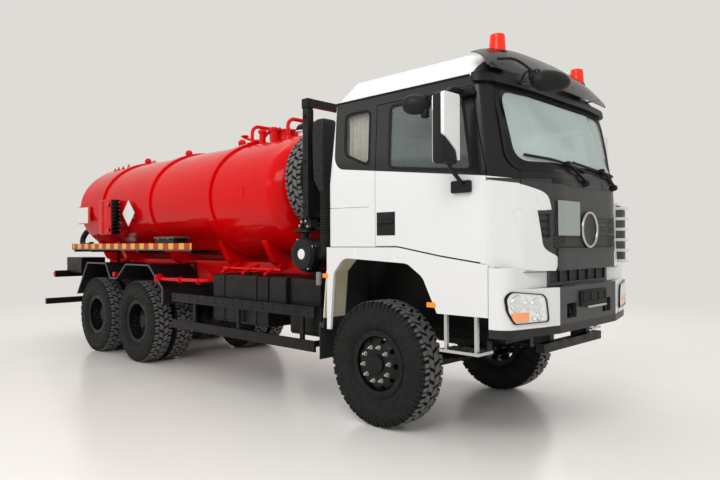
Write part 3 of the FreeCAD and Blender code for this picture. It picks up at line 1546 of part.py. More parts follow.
def tank_fittings():
    """Manhole neck, dome vent, lifting eyes and the guard hoops on top of the tank."""
    top = tank_centre_z + tank_half_height
    neck = Part.makeCylinder(neck_radius, neck_height * 2, Vector(neck_x, 0, top - neck_height))
    pin_y = lid_radius + lid_hinge_reach
    pin_z = neck_top() + lid_thickness / 2
    out_y = pin_y + lid_barrel_radius
    ears = []
    for side in (-1, 1):
        x0 = neck_x + side * (lid_tongue_half + thrust_gap)
        x1 = x0 + side * lid_ear
        ears.append(box(x0, x1, neck_radius - lid_hinge_reach, out_y, top - neck_height / 2, neck_top() - panel_gap))
        ears.append(box(x0, x1, lid_radius + panel_gap, out_y, top, pin_z + lid_barrel_radius))
    reach = lid_tongue_half + lid_ear
    pin = rod(Vector(neck_x - reach, pin_y, pin_z), Vector(neck_x + reach, pin_y, pin_z), lid_pin_radius)
    room = Part.makeCylinder(neck_radius - bracket_wall, neck_height * 2, Vector(neck_x, 0, top + bracket_wall))
    parts = [fuse([neck, pin] + ears).cut(room)]
    for x in vent_xs:
        post = Part.makeCylinder(vent_radius, vent_height * 2, Vector(x, 0, top - vent_height))
        parts.append(post.fuse(Part.makeSphere(vent_radius * 1.4, Vector(x, 0, top + vent_height))))
    for x in hoop_xs:
        parts.append(guard_hoop(x, top).cut(tank_clearance))
    above = box(tank_rear_x, tank_front_x, -tank_half_width / 2, tank_half_width / 2, tank_centre_z, top * 2)
    above = above.cut(ellipse_prism(tank_rear_x - cut_overrun, tank_front_x + cut_overrun, seat_gap))
    return group([part.common(above) for part in parts])


def manhole_lid():
    """Round lid on the neck, hinged on the left."""
    z = neck_top() + seat_gap
    plate = Part.makeCylinder(lid_radius, lid_thickness, Vector(neck_x, 0, z))
    pin_y = lid_radius + lid_hinge_reach
    pin_z = neck_top() + lid_thickness / 2
    half = lid_tongue_half
    tongue = box(neck_x - half, neck_x + half, lid_radius - lid_hinge_reach, pin_y, z, z + lid_thickness)
    barrel = rod(Vector(neck_x - half, pin_y, pin_z), Vector(neck_x + half, pin_y, pin_z), lid_barrel_radius)
    hole = rod(Vector(neck_x - half * 2, pin_y, pin_z), Vector(neck_x + half * 2, pin_y, pin_z),
               lid_pin_radius + pin_clearance)
    return fuse([plate, tongue, barrel]).cut(hole)


def tank_cradle():
    """Two long rails on the frame with saddles shaped to the tank."""
    parts = []
    for side in (-1, 1):
        y_out = side * frame_half_width
        y_in = side * (frame_half_width - cradle_rail_width)
        parts.append(box(cradle_rear_x, cradle_front_x, y_in, y_out, rail_top_z, cradle_top_z))
    for x in saddle_xs:
        outline = [
            (-frame_half_width, cradle_top_z - cradle_rail_width), (frame_half_width, cradle_top_z - cradle_rail_width),
            (saddle_half, cradle_top_z), (saddle_half * 1.25, cradle_top_z + rail_height),
            (-saddle_half * 1.25, cradle_top_z + rail_height), (-saddle_half, cradle_top_z)]
        parts.append(plate_yz(outline, [0] * 6, x - saddle_width / 2, x + saddle_width / 2))
    solid = fuse(parts)
    return solid.cut(tank_clearance)


def hose_tray():
    """Left tray with a side board, on arms from the cradle."""
    y1 = side_wall_y
    y0 = y1 - tray_depth
    parts = [
        box(tray_rear_x, tray_front_x, y0, y1, tray_low_z, tray_low_z + tray_wall),
        box(tray_rear_x, tray_front_x, y1 - tray_wall, y1, tray_low_z, tray_low_z + tray_height),
    ]
    for x in tray_arm_xs:
        parts.append(box(x - tray_arm / 2, x + tray_arm / 2, frame_half_width + seat_gap, y1 - tray_wall,
                         tray_low_z - tray_arm, tray_low_z))
        parts.append(box(x - tray_arm / 2, x + tray_arm / 2, frame_half_width + seat_gap,
                         frame_half_width + tray_arm, rail_top_z + tray_arm, tray_low_z))
    solid = fuse(parts)
    solid = solid.cut(tank_clearance)
    for x in saddle_xs:
        solid = solid.cut(box(x - saddle_width / 2 - seat_gap, x + saddle_width / 2 + seat_gap, 0,
                              saddle_half * 1.3, rail_top_z, tray_low_z + tray_height))
    return solid


def hose_trays():
    """Trays on both sides, the right one with a tool box on it."""
    chest = box(tray_box_rear_x, tray_box_front_x, side_wall_y - tray_wall * 2 - tray_box_width,
                side_wall_y - tray_wall * 2, tray_low_z, tray_low_z + tray_box_height)
    chest = chest.makeFillet(tray_arm / 2, chest.Edges).cut(tank_clearance)
    return group([hose_tray(), mirrored(hose_tray().fuse(chest))])


def control_box():
    """Open box on the right flank of the tank."""
    y1 = side_wall_y - tray_wall
    outer = box(control_rear_x, control_front_x, control_inner_y, y1, control_low_z, control_high_z)
    hollow = box(control_rear_x + control_wall, control_front_x - control_wall, control_inner_y + cut_overrun,
                 y1 + cut_overrun, control_low_z + control_wall, control_high_z - control_wall)
    body = outer.cut(hollow).cut(tank_clearance)
    return mirrored(max(body.Solids, key=lambda piece: piece.Volume))


def sign_plates():
    """Blank diamond on the right flank and a blank plate at the rear of the tank."""
    outline = [(sign_x - sign_half, sign_z), (sign_x, sign_z - sign_half), (sign_x + sign_half, sign_z),
               (sign_x, sign_z + sign_half)]
    plate = plate_xz(outline, [10] * 4, sign_y, sign_y + sign_plate)
    stub = box(sign_x - bracket_wall, sign_x + bracket_wall, tank_half_width * 0.9, sign_y,
               sign_z - bracket_width, sign_z + bracket_width)
    plate = plate.fuse(stub).cut(tank_clearance)
    return mirrored(max(plate.Solids, key=lambda piece: piece.Volume))


# Rear


def rear_fenders():
    """Mudguards over both rear axles on each side, with stays to the frame."""
    rear = axle_3_x + mudguard_shift
    fore = axle_2_x + mudguard_shift
    top = mudguard_top_z
    outer = [
        (rear - mudguard_reach, mudguard_low_z), (rear - mudguard_flat, top), (rear + mudguard_flat, top),
        (bogie_x - mudguard_dip_half, mudguard_dip_z), (bogie_x + mudguard_dip_half, mudguard_dip_z),
        (fore - mudguard_flat, top), (fore + mudguard_flat, top), (fore + mudguard_reach, mudguard_knee_z),
        (fore + mudguard_reach, mudguard_low_z)]
    inner = []
    for x, z in reversed(outer):
        ends = x in (outer[0][0], outer[-1][0])
        move = math.copysign(mudguard_wall * 1.5, bogie_x - x) if ends else 0.0
        drop = 0.0 if z == mudguard_low_z else mudguard_wall
        inner.append((x + move, z - drop))
    loop = outer + inner
    parts = [plate_xz(loop, [0] * len(loop), mudguard_inner_y, mudguard_outer_y)]
    for x in (rear - mudguard_flat, fore + mudguard_flat - bracket_width):
        parts.append(box(x, x + bracket_width, frame_half_width + seat_gap, mudguard_inner_y + bracket_width,
                         top, top + bracket_wall * 2))
        parts.append(box(x, x + bracket_width, frame_half_width + seat_gap, frame_half_width + bracket_wall * 2,
                         rail_top_z + rail_wall, top + bracket_wall * 2))
    return pair(fuse(parts))


def rear_bars():
    """Underrun bar on two arms, and the lamp bar in two halves with a box on each."""
    x0 = rear_end_x
    bar = box(x0, x0 + underrun_wall, -underrun_half, underrun_half, underrun_low_z, underrun_low_z + underrun_height)
    arms = []
    for side in (-1, 1):
        arms.append(box(x0 + underrun_wall, x0 + underrun_wall * 3, side * (frame_half_width - rail_flange),
                        side * (frame_half_width - rail_wall * 2), underrun_low_z, rail_bottom_z - seat_gap))
        arms.append(box(x0, x0 + underrun_wall * 3, side * (frame_half_width - rail_flange),
                        side * (frame_half_width - rail_wall * 2), underrun_low_z, underrun_low_z + underrun_height))
    under = fuse([bar] + arms)
    lamps = box(lamp_bar_x - lamp_bar_wall, lamp_bar_x, -lamp_bar_half, lamp_bar_half, lamp_bar_z - lamp_bar_height / 2,
                lamp_bar_z + lamp_bar_height / 2)
    gap = box(lamp_bar_x - lamp_bar_wall * 2, lamp_bar_x + lamp_bar_wall, -frame_half_width - seat_gap,
              frame_half_width + seat_gap, rail_bottom_z, rail_top_z + seat_gap)
    boxes = []
    for side in (-1, 1):
        low, high = sorted((side * tail_box_inner_y, side * tail_box_outer_y))
        boxes.append(box(tail_box_rear_x, tail_box_front_x, low, high, tail_box_low_z, tail_box_high_z))
    lamps = fuse([lamps] + boxes).cut(gap)
    return group([under] + list(lamps.Solids))


def outlet_pipe():
    """Outlet at the rear head: pipe and bolted flange."""
    start = Vector(tank_rear_x - head_depth * 0.55, 0, outlet_z)
    end = Vector(tank_rear_x - head_depth - outlet_radius * 2, 0, outlet_z)
    pipe = rod(start, end, outlet_radius)
    flange = rod(Vector(end.x + outlet_flange, 0, outlet_z), end, outlet_flange_radius)
    solid = pipe.fuse(flange)
    solid = solid.cut(rod(Vector(end.x + outlet_radius * 3, 0, outlet_z), Vector(end.x - cut_overrun, 0, outlet_z),
                          outlet_radius * 0.8))
    for i in range(outlet_bolts):
        angle = 2 * math.pi * (i + 0.5) / outlet_bolts
        y = outlet_bolt_circle / 2 * math.cos(angle)
        z = outlet_z + outlet_bolt_circle / 2 * math.sin(angle)
        hole = rod(Vector(end.x + outlet_flange + cut_overrun, y, z), Vector(end.x - cut_overrun, y, z), outlet_bolt_radius)
        solid = solid.cut(hole)
    return solid.cut(tank_clearance)


# Assembly

tank_clearance = fuse([tank_form(seat_gap)] + [
    ellipse_prism(x - rib_width / 2 - seat_gap, x + rib_width / 2 + seat_gap, rib_rise + seat_gap) for x in rib_xs])
cab = Cab()
wheel_tyre = at(tyre(front_wheel_y), 0, 0, axle_z)
wheel_rim = at(front_rim(), 0, 0, axle_z)
tyres = at(twin_tyres(), 0, 0, axle_z)
rims = at(twin_rims(), 0, 0, axle_z)
left_door = cab.door()
left_glass = cab.door_glass()

nodes = {
    "frame_rails": frame_rails(),
    "engine_block": engine_block(),
    "propeller_shafts": propeller_shafts(),
    "axle_housings": group([front_axle(), rear_axle(axle_2_x), rear_axle(axle_3_x)]),
    "leaf_springs": leaf_springs(),
    "front_bumper": front_bumper(),
    "headlights": headlights(),
    "front_fenders": pair(front_fender()),
    "arch_liners": pair(arch_liner()),
    "entry_steps": pair(entry_step()),
    "fuel_tank": fuel_tank(),
    "urea_tank": urea_tank(),
    "silencer_and_battery_box": silencer(),
    "side_guards": pair(side_guard()),
    "spare_rack": spare_rack(),
    "spare_wheel": spare_wheel(),
    "air_intake": air_intake(),
    "tank_cradle": tank_cradle(),
    "tank_shell": tank_shell(),
    "tank_fittings": tank_fittings(),
    "manhole_lid": manhole_lid(),
    "hose_trays": hose_trays(),
    "control_box": control_box(),
    "sign_plate": sign_plates(),
    "rear_fenders": rear_fenders(),
    "rear_bars": rear_bars(),
    "outlet_pipe": outlet_pipe(),
    "cab_shell": cab.shell(),
    "cab_roof": cab.roof(),
    "cab_front_panel": cab.front_panel(),
    "cab_cheeks": cab.cheeks(),
    "cab_glass": cab.glass(),
    "sun_visor": sun_visor(),
    "roof_brow": roof_brow(),
    "front_mirror": front_mirror(),
    "beacons": beacons(),
    "seats": group([seat(), mirrored(seat()), bunk()]),
    "dashboard": dashboard(),
    "door_left": left_door,
    "door_right": mirrored(left_door),
    "door_glass_left": left_glass,
    "door_glass_right": mirrored(left_glass),
    "mirror_left": mirror_set(),
    "mirror_right": mirrored(mirror_set()),
    "knuckle_left": knuckle(),
    "knuckle_right": mirrored(knuckle()),
    "tie_rod": tie_rod(),
    "tyre_front_left": wheel_tyre,
    "tyre_front_right": mirrored(wheel_tyre),
    "rim_front_left": wheel_rim,
    "rim_front_right": mirrored(wheel_rim),
}
for name, x in (("middle", axle_2_x), ("rear", axle_3_x)):
    nodes["tyres_" + name + "_left"] = at(tyres, x, 0, 0)
    nodes["tyres_" + name + "_right"] = at(mirrored(tyres), x, 0, 0)
    nodes["rims_" + name + "_left"] = at(rims, x, 0, 0)
    nodes["rims_" + name + "_right"] = at(mirrored(rims), x, 0, 0)

os.makedirs("parts", exist_ok=True)
for name, shape in nodes.items():
    placed = at(shape, shift_x, 0, 0)
    placed.exportStep("parts/" + name + ".step")
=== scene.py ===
import math

import bmesh
import bpy
import numpy as np
from mathutils import Matrix, Vector


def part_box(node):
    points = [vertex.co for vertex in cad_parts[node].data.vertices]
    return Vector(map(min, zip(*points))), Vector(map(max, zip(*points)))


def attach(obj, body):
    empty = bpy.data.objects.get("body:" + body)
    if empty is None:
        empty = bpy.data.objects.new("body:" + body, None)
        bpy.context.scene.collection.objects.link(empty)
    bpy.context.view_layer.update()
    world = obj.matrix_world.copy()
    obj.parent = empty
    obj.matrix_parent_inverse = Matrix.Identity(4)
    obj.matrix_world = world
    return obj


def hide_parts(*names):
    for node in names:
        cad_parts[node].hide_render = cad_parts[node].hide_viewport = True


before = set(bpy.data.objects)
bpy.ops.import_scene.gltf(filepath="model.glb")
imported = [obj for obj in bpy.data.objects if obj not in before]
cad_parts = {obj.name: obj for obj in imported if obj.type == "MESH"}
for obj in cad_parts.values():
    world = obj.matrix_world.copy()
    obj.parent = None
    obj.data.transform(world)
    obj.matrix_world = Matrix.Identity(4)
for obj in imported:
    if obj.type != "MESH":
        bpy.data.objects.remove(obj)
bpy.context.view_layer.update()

bl_info = {
    "name": "Tanker truck dressing",
    "version": (1, 0, 0),
    "blender": (4, 5, 0),
    "location": "3D View > Sidebar > Tanker",
    "description": "Surfaces, small parts and finishes laid over the frame of a three-axle tanker truck",
    "category": "Object",
}

# Metres, with x forwards from the middle of the truck, y to its left and z up from the ground
FRONT_AXLE = 3.485
AXLES = (FRONT_AXLE, -1.465, -2.895)
WHEEL_Z = 0.615
OUTER_ROW, INNER_ROW = 1.08, 0.724
SIDE_WALL = 1.245
FOOT, BELT, DRIP = 1.52, 2.4, 3.215
TURN = 2 * math.pi
SIDES = (("left", 1.0), ("right", -1.0))
UP, AHEAD, RIGHT, ORIGIN = (0, 0, 1), (1, 0, 0), (0, -1, 0), (0, 0, 0)


# Sizes and colours that a user would change


def length(name, description, default):
    return bpy.props.FloatProperty(name=name, description=description, default=default, unit="LENGTH")


def colour(name, description, default):
    return bpy.props.FloatVectorProperty(name=name, description=description, default=default, subtype="COLOR", size=3)


class TruckSizes(bpy.types.PropertyGroup):
    tyre_radius: length("Tyre radius", "Radius over the tread blocks", 0.615)
    tyre_width: length("Tyre width", "Widest section of one tyre", 0.318)
    tread_blocks: bpy.props.IntProperty(
        name="Tread pitches", description="How often the tread pattern repeats round a tyre", default=34, min=12)
    tread_depth: length("Tread depth", "Height of the tread blocks", 0.021)
    stud_circle: length("Stud circle", "Diameter of the circle of wheel nuts", 0.335)
    nut_size: length("Wheel nut size", "Width of a wheel nut across its flats", 0.033)
    board_square: length("Board square", "Length of one coloured square of the side board", 0.142)


class TruckColours(bpy.types.PropertyGroup):
    cab_white: colour("Cab paint", "White of the cab", (0.74, 0.745, 0.745))
    tank_red: colour("Tank paint", "Red of the tank and its fittings", (0.66, 0.0015, 0.003))
    trim_grey: colour("Trim grey", "Dark grey of the front panel", (0.032, 0.033, 0.034))
    chassis_black: colour("Chassis paint", "Black of the frame and boxes", (0.006, 0.006, 0.006))
    rubber_black: colour("Rubber", "Black of the tyres", (0.008, 0.008, 0.008))
    floor_tone: colour("Floor", "Pale floor", (0.86, 0.83, 0.795))


def sizes():
    return bpy.context.scene.tanker_sizes


def colours():
    return bpy.context.scene.tanker_colours


# Meshes as arrays: a mesh is a pair of (points, list of face arrays)


def lattice(points, wrap_rows=False, wrap_columns=False, caps=False):
    """Quads over a grid of points (rows, columns, 3), each joined to the next row and the next column. Caps close the
    first and the last row with one face each."""
    rows, columns = points.shape[:2]
    index = np.arange(rows * columns).reshape(rows, columns)
    ends = [index[:1], index[-1:]] if caps else []
    if wrap_rows:
        index = np.vstack([index, index[:1]])
    if wrap_columns:
        index = np.hstack([index, index[:, :1]])
    quads = np.stack([index[:-1, :-1], index[1:, :-1], index[1:, 1:], index[:-1, 1:]], -1).reshape(-1, 4)
    return points.reshape(-1, 3), [quads] + ends


def hull(points, closed=False):
    """Skin over rings of points, which either closes on itself or is capped at both ends."""
    return lattice(points, wrap_rows=closed, wrap_columns=True, caps=not closed)


def merged(meshes):
    """Several meshes as one, each one's point numbers counted on from the last."""
    points, faces, offset = [], [], 0
    for own_points, own_faces in meshes:
        points.append(np.asarray(own_points, float))
        faces += [np.asarray(part) + offset for part in own_faces]
        offset += len(own_points)
    return np.concatenate(points), faces


def repeated(mesh, matrices):
    """Copies of a mesh: each point p becomes M p for every 4x4 matrix M of the stack."""
    points, faces = mesh
    matrices = np.asarray(matrices, float)
    count, size = len(matrices), len(points)
    whole = np.einsum("nij,kj->nki", matrices[:, :3, :3], points) + matrices[:, None, :3, 3]
    offsets = (np.arange(count) * size)[:, None, None]
    return whole.reshape(-1, 3), [(part[None] + offsets).reshape(-1, part.shape[1]) for part in faces]


def facing(direction, place=ORIGIN, up=UP):
    """Matrix that turns local Z to a direction, with local X level, and shifts to a place."""
    z = np.asarray(direction, float) / np.linalg.norm(direction)
    x = np.cross(up, z)
    x = x / np.linalg.norm(x) if np.linalg.norm(x) > 1e-6 else np.array([1.0, 0, 0])
    matrix = np.eye(4)
    matrix[:3, 0], matrix[:3, 1], matrix[:3, 2], matrix[:3, 3] = x, np.cross(z, x), z, place
    return matrix


def set_at(mesh, places, direction=None):
    """Copies of a mesh at places, each with its Z turned to a direction."""
    places = np.asarray(places, float).reshape(-1, 3)
    stack = np.tile(np.eye(4) if direction is None else facing(direction), (len(places), 1, 1))
    stack[:, :3, 3] = places
    return repeated(mesh, stack)


def turned(mesh, angles):
    """Copies of a mesh turned about Y by each angle."""
    return repeated(mesh, [np.array(Matrix.Rotation(float(angle), 4, Vector((0, 1, 0)))) for angle in angles])


def scaled(mesh, factors):
    return mesh[0] * np.array(factors), mesh[1]


def both(mesh):
    """The mesh, and the same mesh on the other side of the truck."""
    points, faces = mesh
    return merged([mesh, (points * np.array([1.0, -1.0, 1.0]), [part[:, ::-1] for part in faces])])


def ring_of(count, radius, start=0.0):
    """Points of a circle as (count, 2)."""
    angles = np.arange(count) * TURN / count + start
    return radius * np.stack([np.cos(angles), np.sin(angles)], -1)


def block(low, high, radius=0.004, steps=2):
    """Rounded block: a small ball of directions n, each point at centre + (half - r) sign(n) + r n."""
    low, high = np.minimum(low, high).astype(float), np.maximum(low, high).astype(float)
    half, centre = (high - low) / 2, (high + low) / 2
    radius = min(radius, half.min() * 0.98)
    quarter = np.linspace(0, math.pi / 2, steps + 1)
    tilt = np.concatenate([quarter, quarter + math.pi / 2]) - math.pi / 2
    tilt_sign = np.repeat([-1.0, 1.0], steps + 1)
    spin = np.concatenate([quarter + k * math.pi / 2 for k in range(4)])
    x_sign, y_sign = np.repeat([1.0, -1, -1, 1], steps + 1), np.repeat([1.0, 1, -1, -1], steps + 1)
    normal = np.stack([np.cos(tilt)[:, None] * np.cos(spin), np.cos(tilt)[:, None] * np.sin(spin),
                       np.sin(tilt)[:, None] + 0 * spin], -1)
    sign = np.stack([x_sign + 0 * tilt[:, None], y_sign + 0 * tilt[:, None], tilt_sign[:, None] + 0 * spin], -1)
    return hull(centre + (half - radius) * sign + radius * normal)


def revolved(profile, centre, axis=(0, 1, 0), steps=64, closed=False):
    """Surface of revolution: each (radius, height) of the profile swept round the axis through the centre."""
    profile = np.asarray(profile, float)
    angle = np.linspace(0, TURN, steps, endpoint=False)
    turn = facing(axis, centre, up=UP if abs(axis[2]) < 0.9 else AHEAD)[:3, :3]
    local = np.stack([profile[:, :1] * np.cos(angle), profile[:, :1] * np.sin(angle),
                      profile[:, 1:] + 0 * angle], -1)
    return hull(local @ turn.T + np.asarray(centre, float), closed)


def bent(corners, radius, steps=6, closed=False):
    """Path through corners with each one rounded: a quadratic arc between points at radius before and after it."""
    corners = np.asarray(corners, float)
    count = len(corners)
    path = []
    share = np.linspace(0, 1, steps + 1)[:, None]
    for i in range(count):
        here = corners[i]
        if not closed and i in (0, count - 1):
            path.append(here[None])
            continue
        back, on = corners[i - 1] - here, corners[(i + 1) % count] - here
        back_length, on_length = np.linalg.norm(back), np.linalg.norm(on)
        reach = min(radius, back_length * 0.49, on_length * 0.49)
        start, end = here + back / back_length * reach, here + on / on_length * reach
        path.append(start * (1 - share) ** 2 + here * 2 * share * (1 - share) + end * share ** 2)
    return np.concatenate(path)


def path_frames(path, closed=False):
    """Unit side and lift directions along a path, from the plane that the path lies nearest to."""
    ahead = np.roll(path, -1, 0) - np.roll(path, 1, 0)
    if not closed:
        ahead[0], ahead[-1] = path[1] - path[0], path[-1] - path[-2]
    ahead /= np.linalg.norm(ahead, axis=1)[:, None]
    normal = np.linalg.svd(path - path.mean(0))[2][2]
    if len(path) < 3 or np.abs(ahead @ normal).max() > 0.9:
        normal = np.eye(3)[np.abs(ahead).max(0).argmin()]
    side = np.cross(ahead, normal)
    side /= np.linalg.norm(side, axis=1)[:, None]
    return side, np.cross(side, ahead)


def swept(path, profile, closed=False):
    """Profile of (side, lift) offsets carried along a path, its ends closed by flat faces."""
    path, profile = np.asarray(path, float), np.asarray(profile, float)
    side, lift = path_frames(path, closed)
    return hull(path[:, None] + side[:, None] * profile[:, :1] + lift[:, None] * profile[:, 1:], closed)


def tube(corners, radius, bend=0.0, sides=12):
    """Round bar along a path of corners, each corner rounded by bend."""
    path = bent(corners, bend) if bend else np.asarray(corners, float)
    angle = np.linspace(0, TURN, sides, endpoint=False)
    return swept(path, np.stack([np.cos(angle), np.sin(angle)], -1) * radius)


def slab(outline, axis, low, high):
    """Flat plate: a closed outline of two coordinates, pushed from low to high along the third axis."""
    outline = np.asarray(outline, float)
    order = {0: (1, 2), 1: (0, 2), 2: (0, 1)}[axis]
    layers = np.zeros((2, len(outline), 3))
    layers[:, :, order[0]], layers[:, :, order[1]] = outline[:, 0], outline[:, 1]
    layers[0, :, axis], layers[1, :, axis] = low, high
    return hull(layers)


def soft_outline(corners, radius, steps=4):
    """Closed flat outline with rounded corners, as (a, b) pairs."""
    corners = np.asarray(corners, float)
    flat = np.column_stack([corners, np.zeros(len(corners))])
    return bent(flat, radius, steps, closed=True)[:, :2]


def oblong(low, high):
    """Corners of an upright rectangle from its lowest and its highest corner."""
    return [low, (high[0], low[1]), high, (low[0], high[1])]


def tapered(levels, radius):
    """Upright housing: rounded rectangles (z, x low, x high, y low, y high) joined from level to level."""
    rings = []
    for z, x_low, x_high, y_low, y_high in levels:
        ring = soft_outline(oblong((x_low, y_low), (x_high, y_high)), radius)
        rings.append(np.column_stack([ring, np.full(len(ring), z)]))
    return hull(np.array(rings))


def plated(outer, inner):
    """Closed plate between two grids of points."""
    strips = [np.stack([outer[0], inner[0]]), np.stack([outer[-1], inner[-1]]),
              np.stack([outer[:, 0], inner[:, 0]]), np.stack([outer[:, -1], inner[:, -1]])]
    return merged([lattice(outer), lattice(inner)] + [lattice(strip) for strip in strips])


def egg(centre, along, reach):
    """Egg with its long axis along a level direction: rings whose girth is the root of 1 - |t| to the 2.3."""
    long_axis = np.array(along, float) / np.linalg.norm(along)
    side_axis = np.cross(long_axis, UP)
    share, turn = np.linspace(-1.0, 1.0, 29)[:, None], np.linspace(0.0, TURN, 48, endpoint=False)[None]
    girth = np.sqrt(np.maximum(0.0, 1.0 - np.abs(share) ** 2.3)) * (1.0 - 0.1 * share)
    points = (np.array(centre) + long_axis * (share * reach[0])[..., None]
              + side_axis * (girth * np.cos(turn) * reach[1])[..., None]
              + np.array(UP) * (girth * np.sin(turn) * reach[2])[..., None])
    return lattice(points, wrap_columns=True)


def hexagon(across, height):
    """Nut: a six-sided prism along Z with a washer below and a domed top."""
    angle = np.linspace(0, TURN, 6, endpoint=False)
    r = across / math.sqrt(3)
    rings = [(r * 1.22, 0.0), (r * 1.22, 0.16), (r, 0.18), (r, 0.86), (r * 0.86, 1.0)]
    return hull(np.array([[(q * math.cos(a), q * math.sin(a), h * height) for a in angle] for q, h in rings]))


def spaced(path, step):
    """Closed path with points at equal steps along it."""
    loop = np.vstack([path, path[:1]])
    reach = np.concatenate([[0], np.cumsum(np.linalg.norm(np.diff(loop, axis=0), axis=1))])
    at = np.linspace(0, reach[-1], max(int(reach[-1] / step), 2) + 1)[:-1]
    return np.stack([np.interp(at, reach, loop[:, i]) for i in range(loop.shape[1])], -1)


def lip(width, height):
    """Flat rubber section with rounded edges, as (side, lift)."""
    half = width / 2
    return [(-half, 0.0), (-half, height * 0.6), (-half * 0.75, height), (half * 0.75, height), (half, height * 0.6),
            (half, 0.0)]


def piece(name, meshes, finish, body, replaces=None, angle=32.0, bevel=0.0):
    """Object from a mesh or a list of them: doubles merged, faces turned outwards, shaded smooth up to an angle, given
    the finish of that name and set on its body."""
    points, faces = merged(meshes) if isinstance(meshes, list) else meshes
    data = bpy.data.meshes.new(name)
    data.from_pydata(np.asarray(points).tolist(), [], [face for part in faces for face in part.tolist()])
    work = bmesh.new()
    work.from_mesh(data)
    bmesh.ops.remove_doubles(work, verts=work.verts, dist=2e-5)
    bmesh.ops.recalc_face_normals(work, faces=work.faces)
    work.to_mesh(data)
    work.free()
    data.polygons.foreach_set("use_smooth", np.ones(len(data.polygons), bool))
    data.set_sharp_from_angle(angle=math.radians(angle))
    data.materials.append(finish_of(finish))
    made = bpy.data.objects.new(name, data)
    bpy.context.scene.collection.objects.link(made)
    if bevel:
        edge = made.modifiers.new("Edge", "BEVEL")
        edge.width, edge.segments, edge.limit_method, edge.angle_limit = bevel, 2, "ANGLE", math.radians(40)
        edge.harden_normals = True
    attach(made, body)
    if replaces:
        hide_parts(replaces)
    return made


def dress(finish, *nodes):
    """Gives CAD nodes the finish of that name in place of their plain material."""
    for name in nodes:
        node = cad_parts[name]
        node.data.materials.clear()
        node.data.materials.append(finish_of(finish))


# Finishes


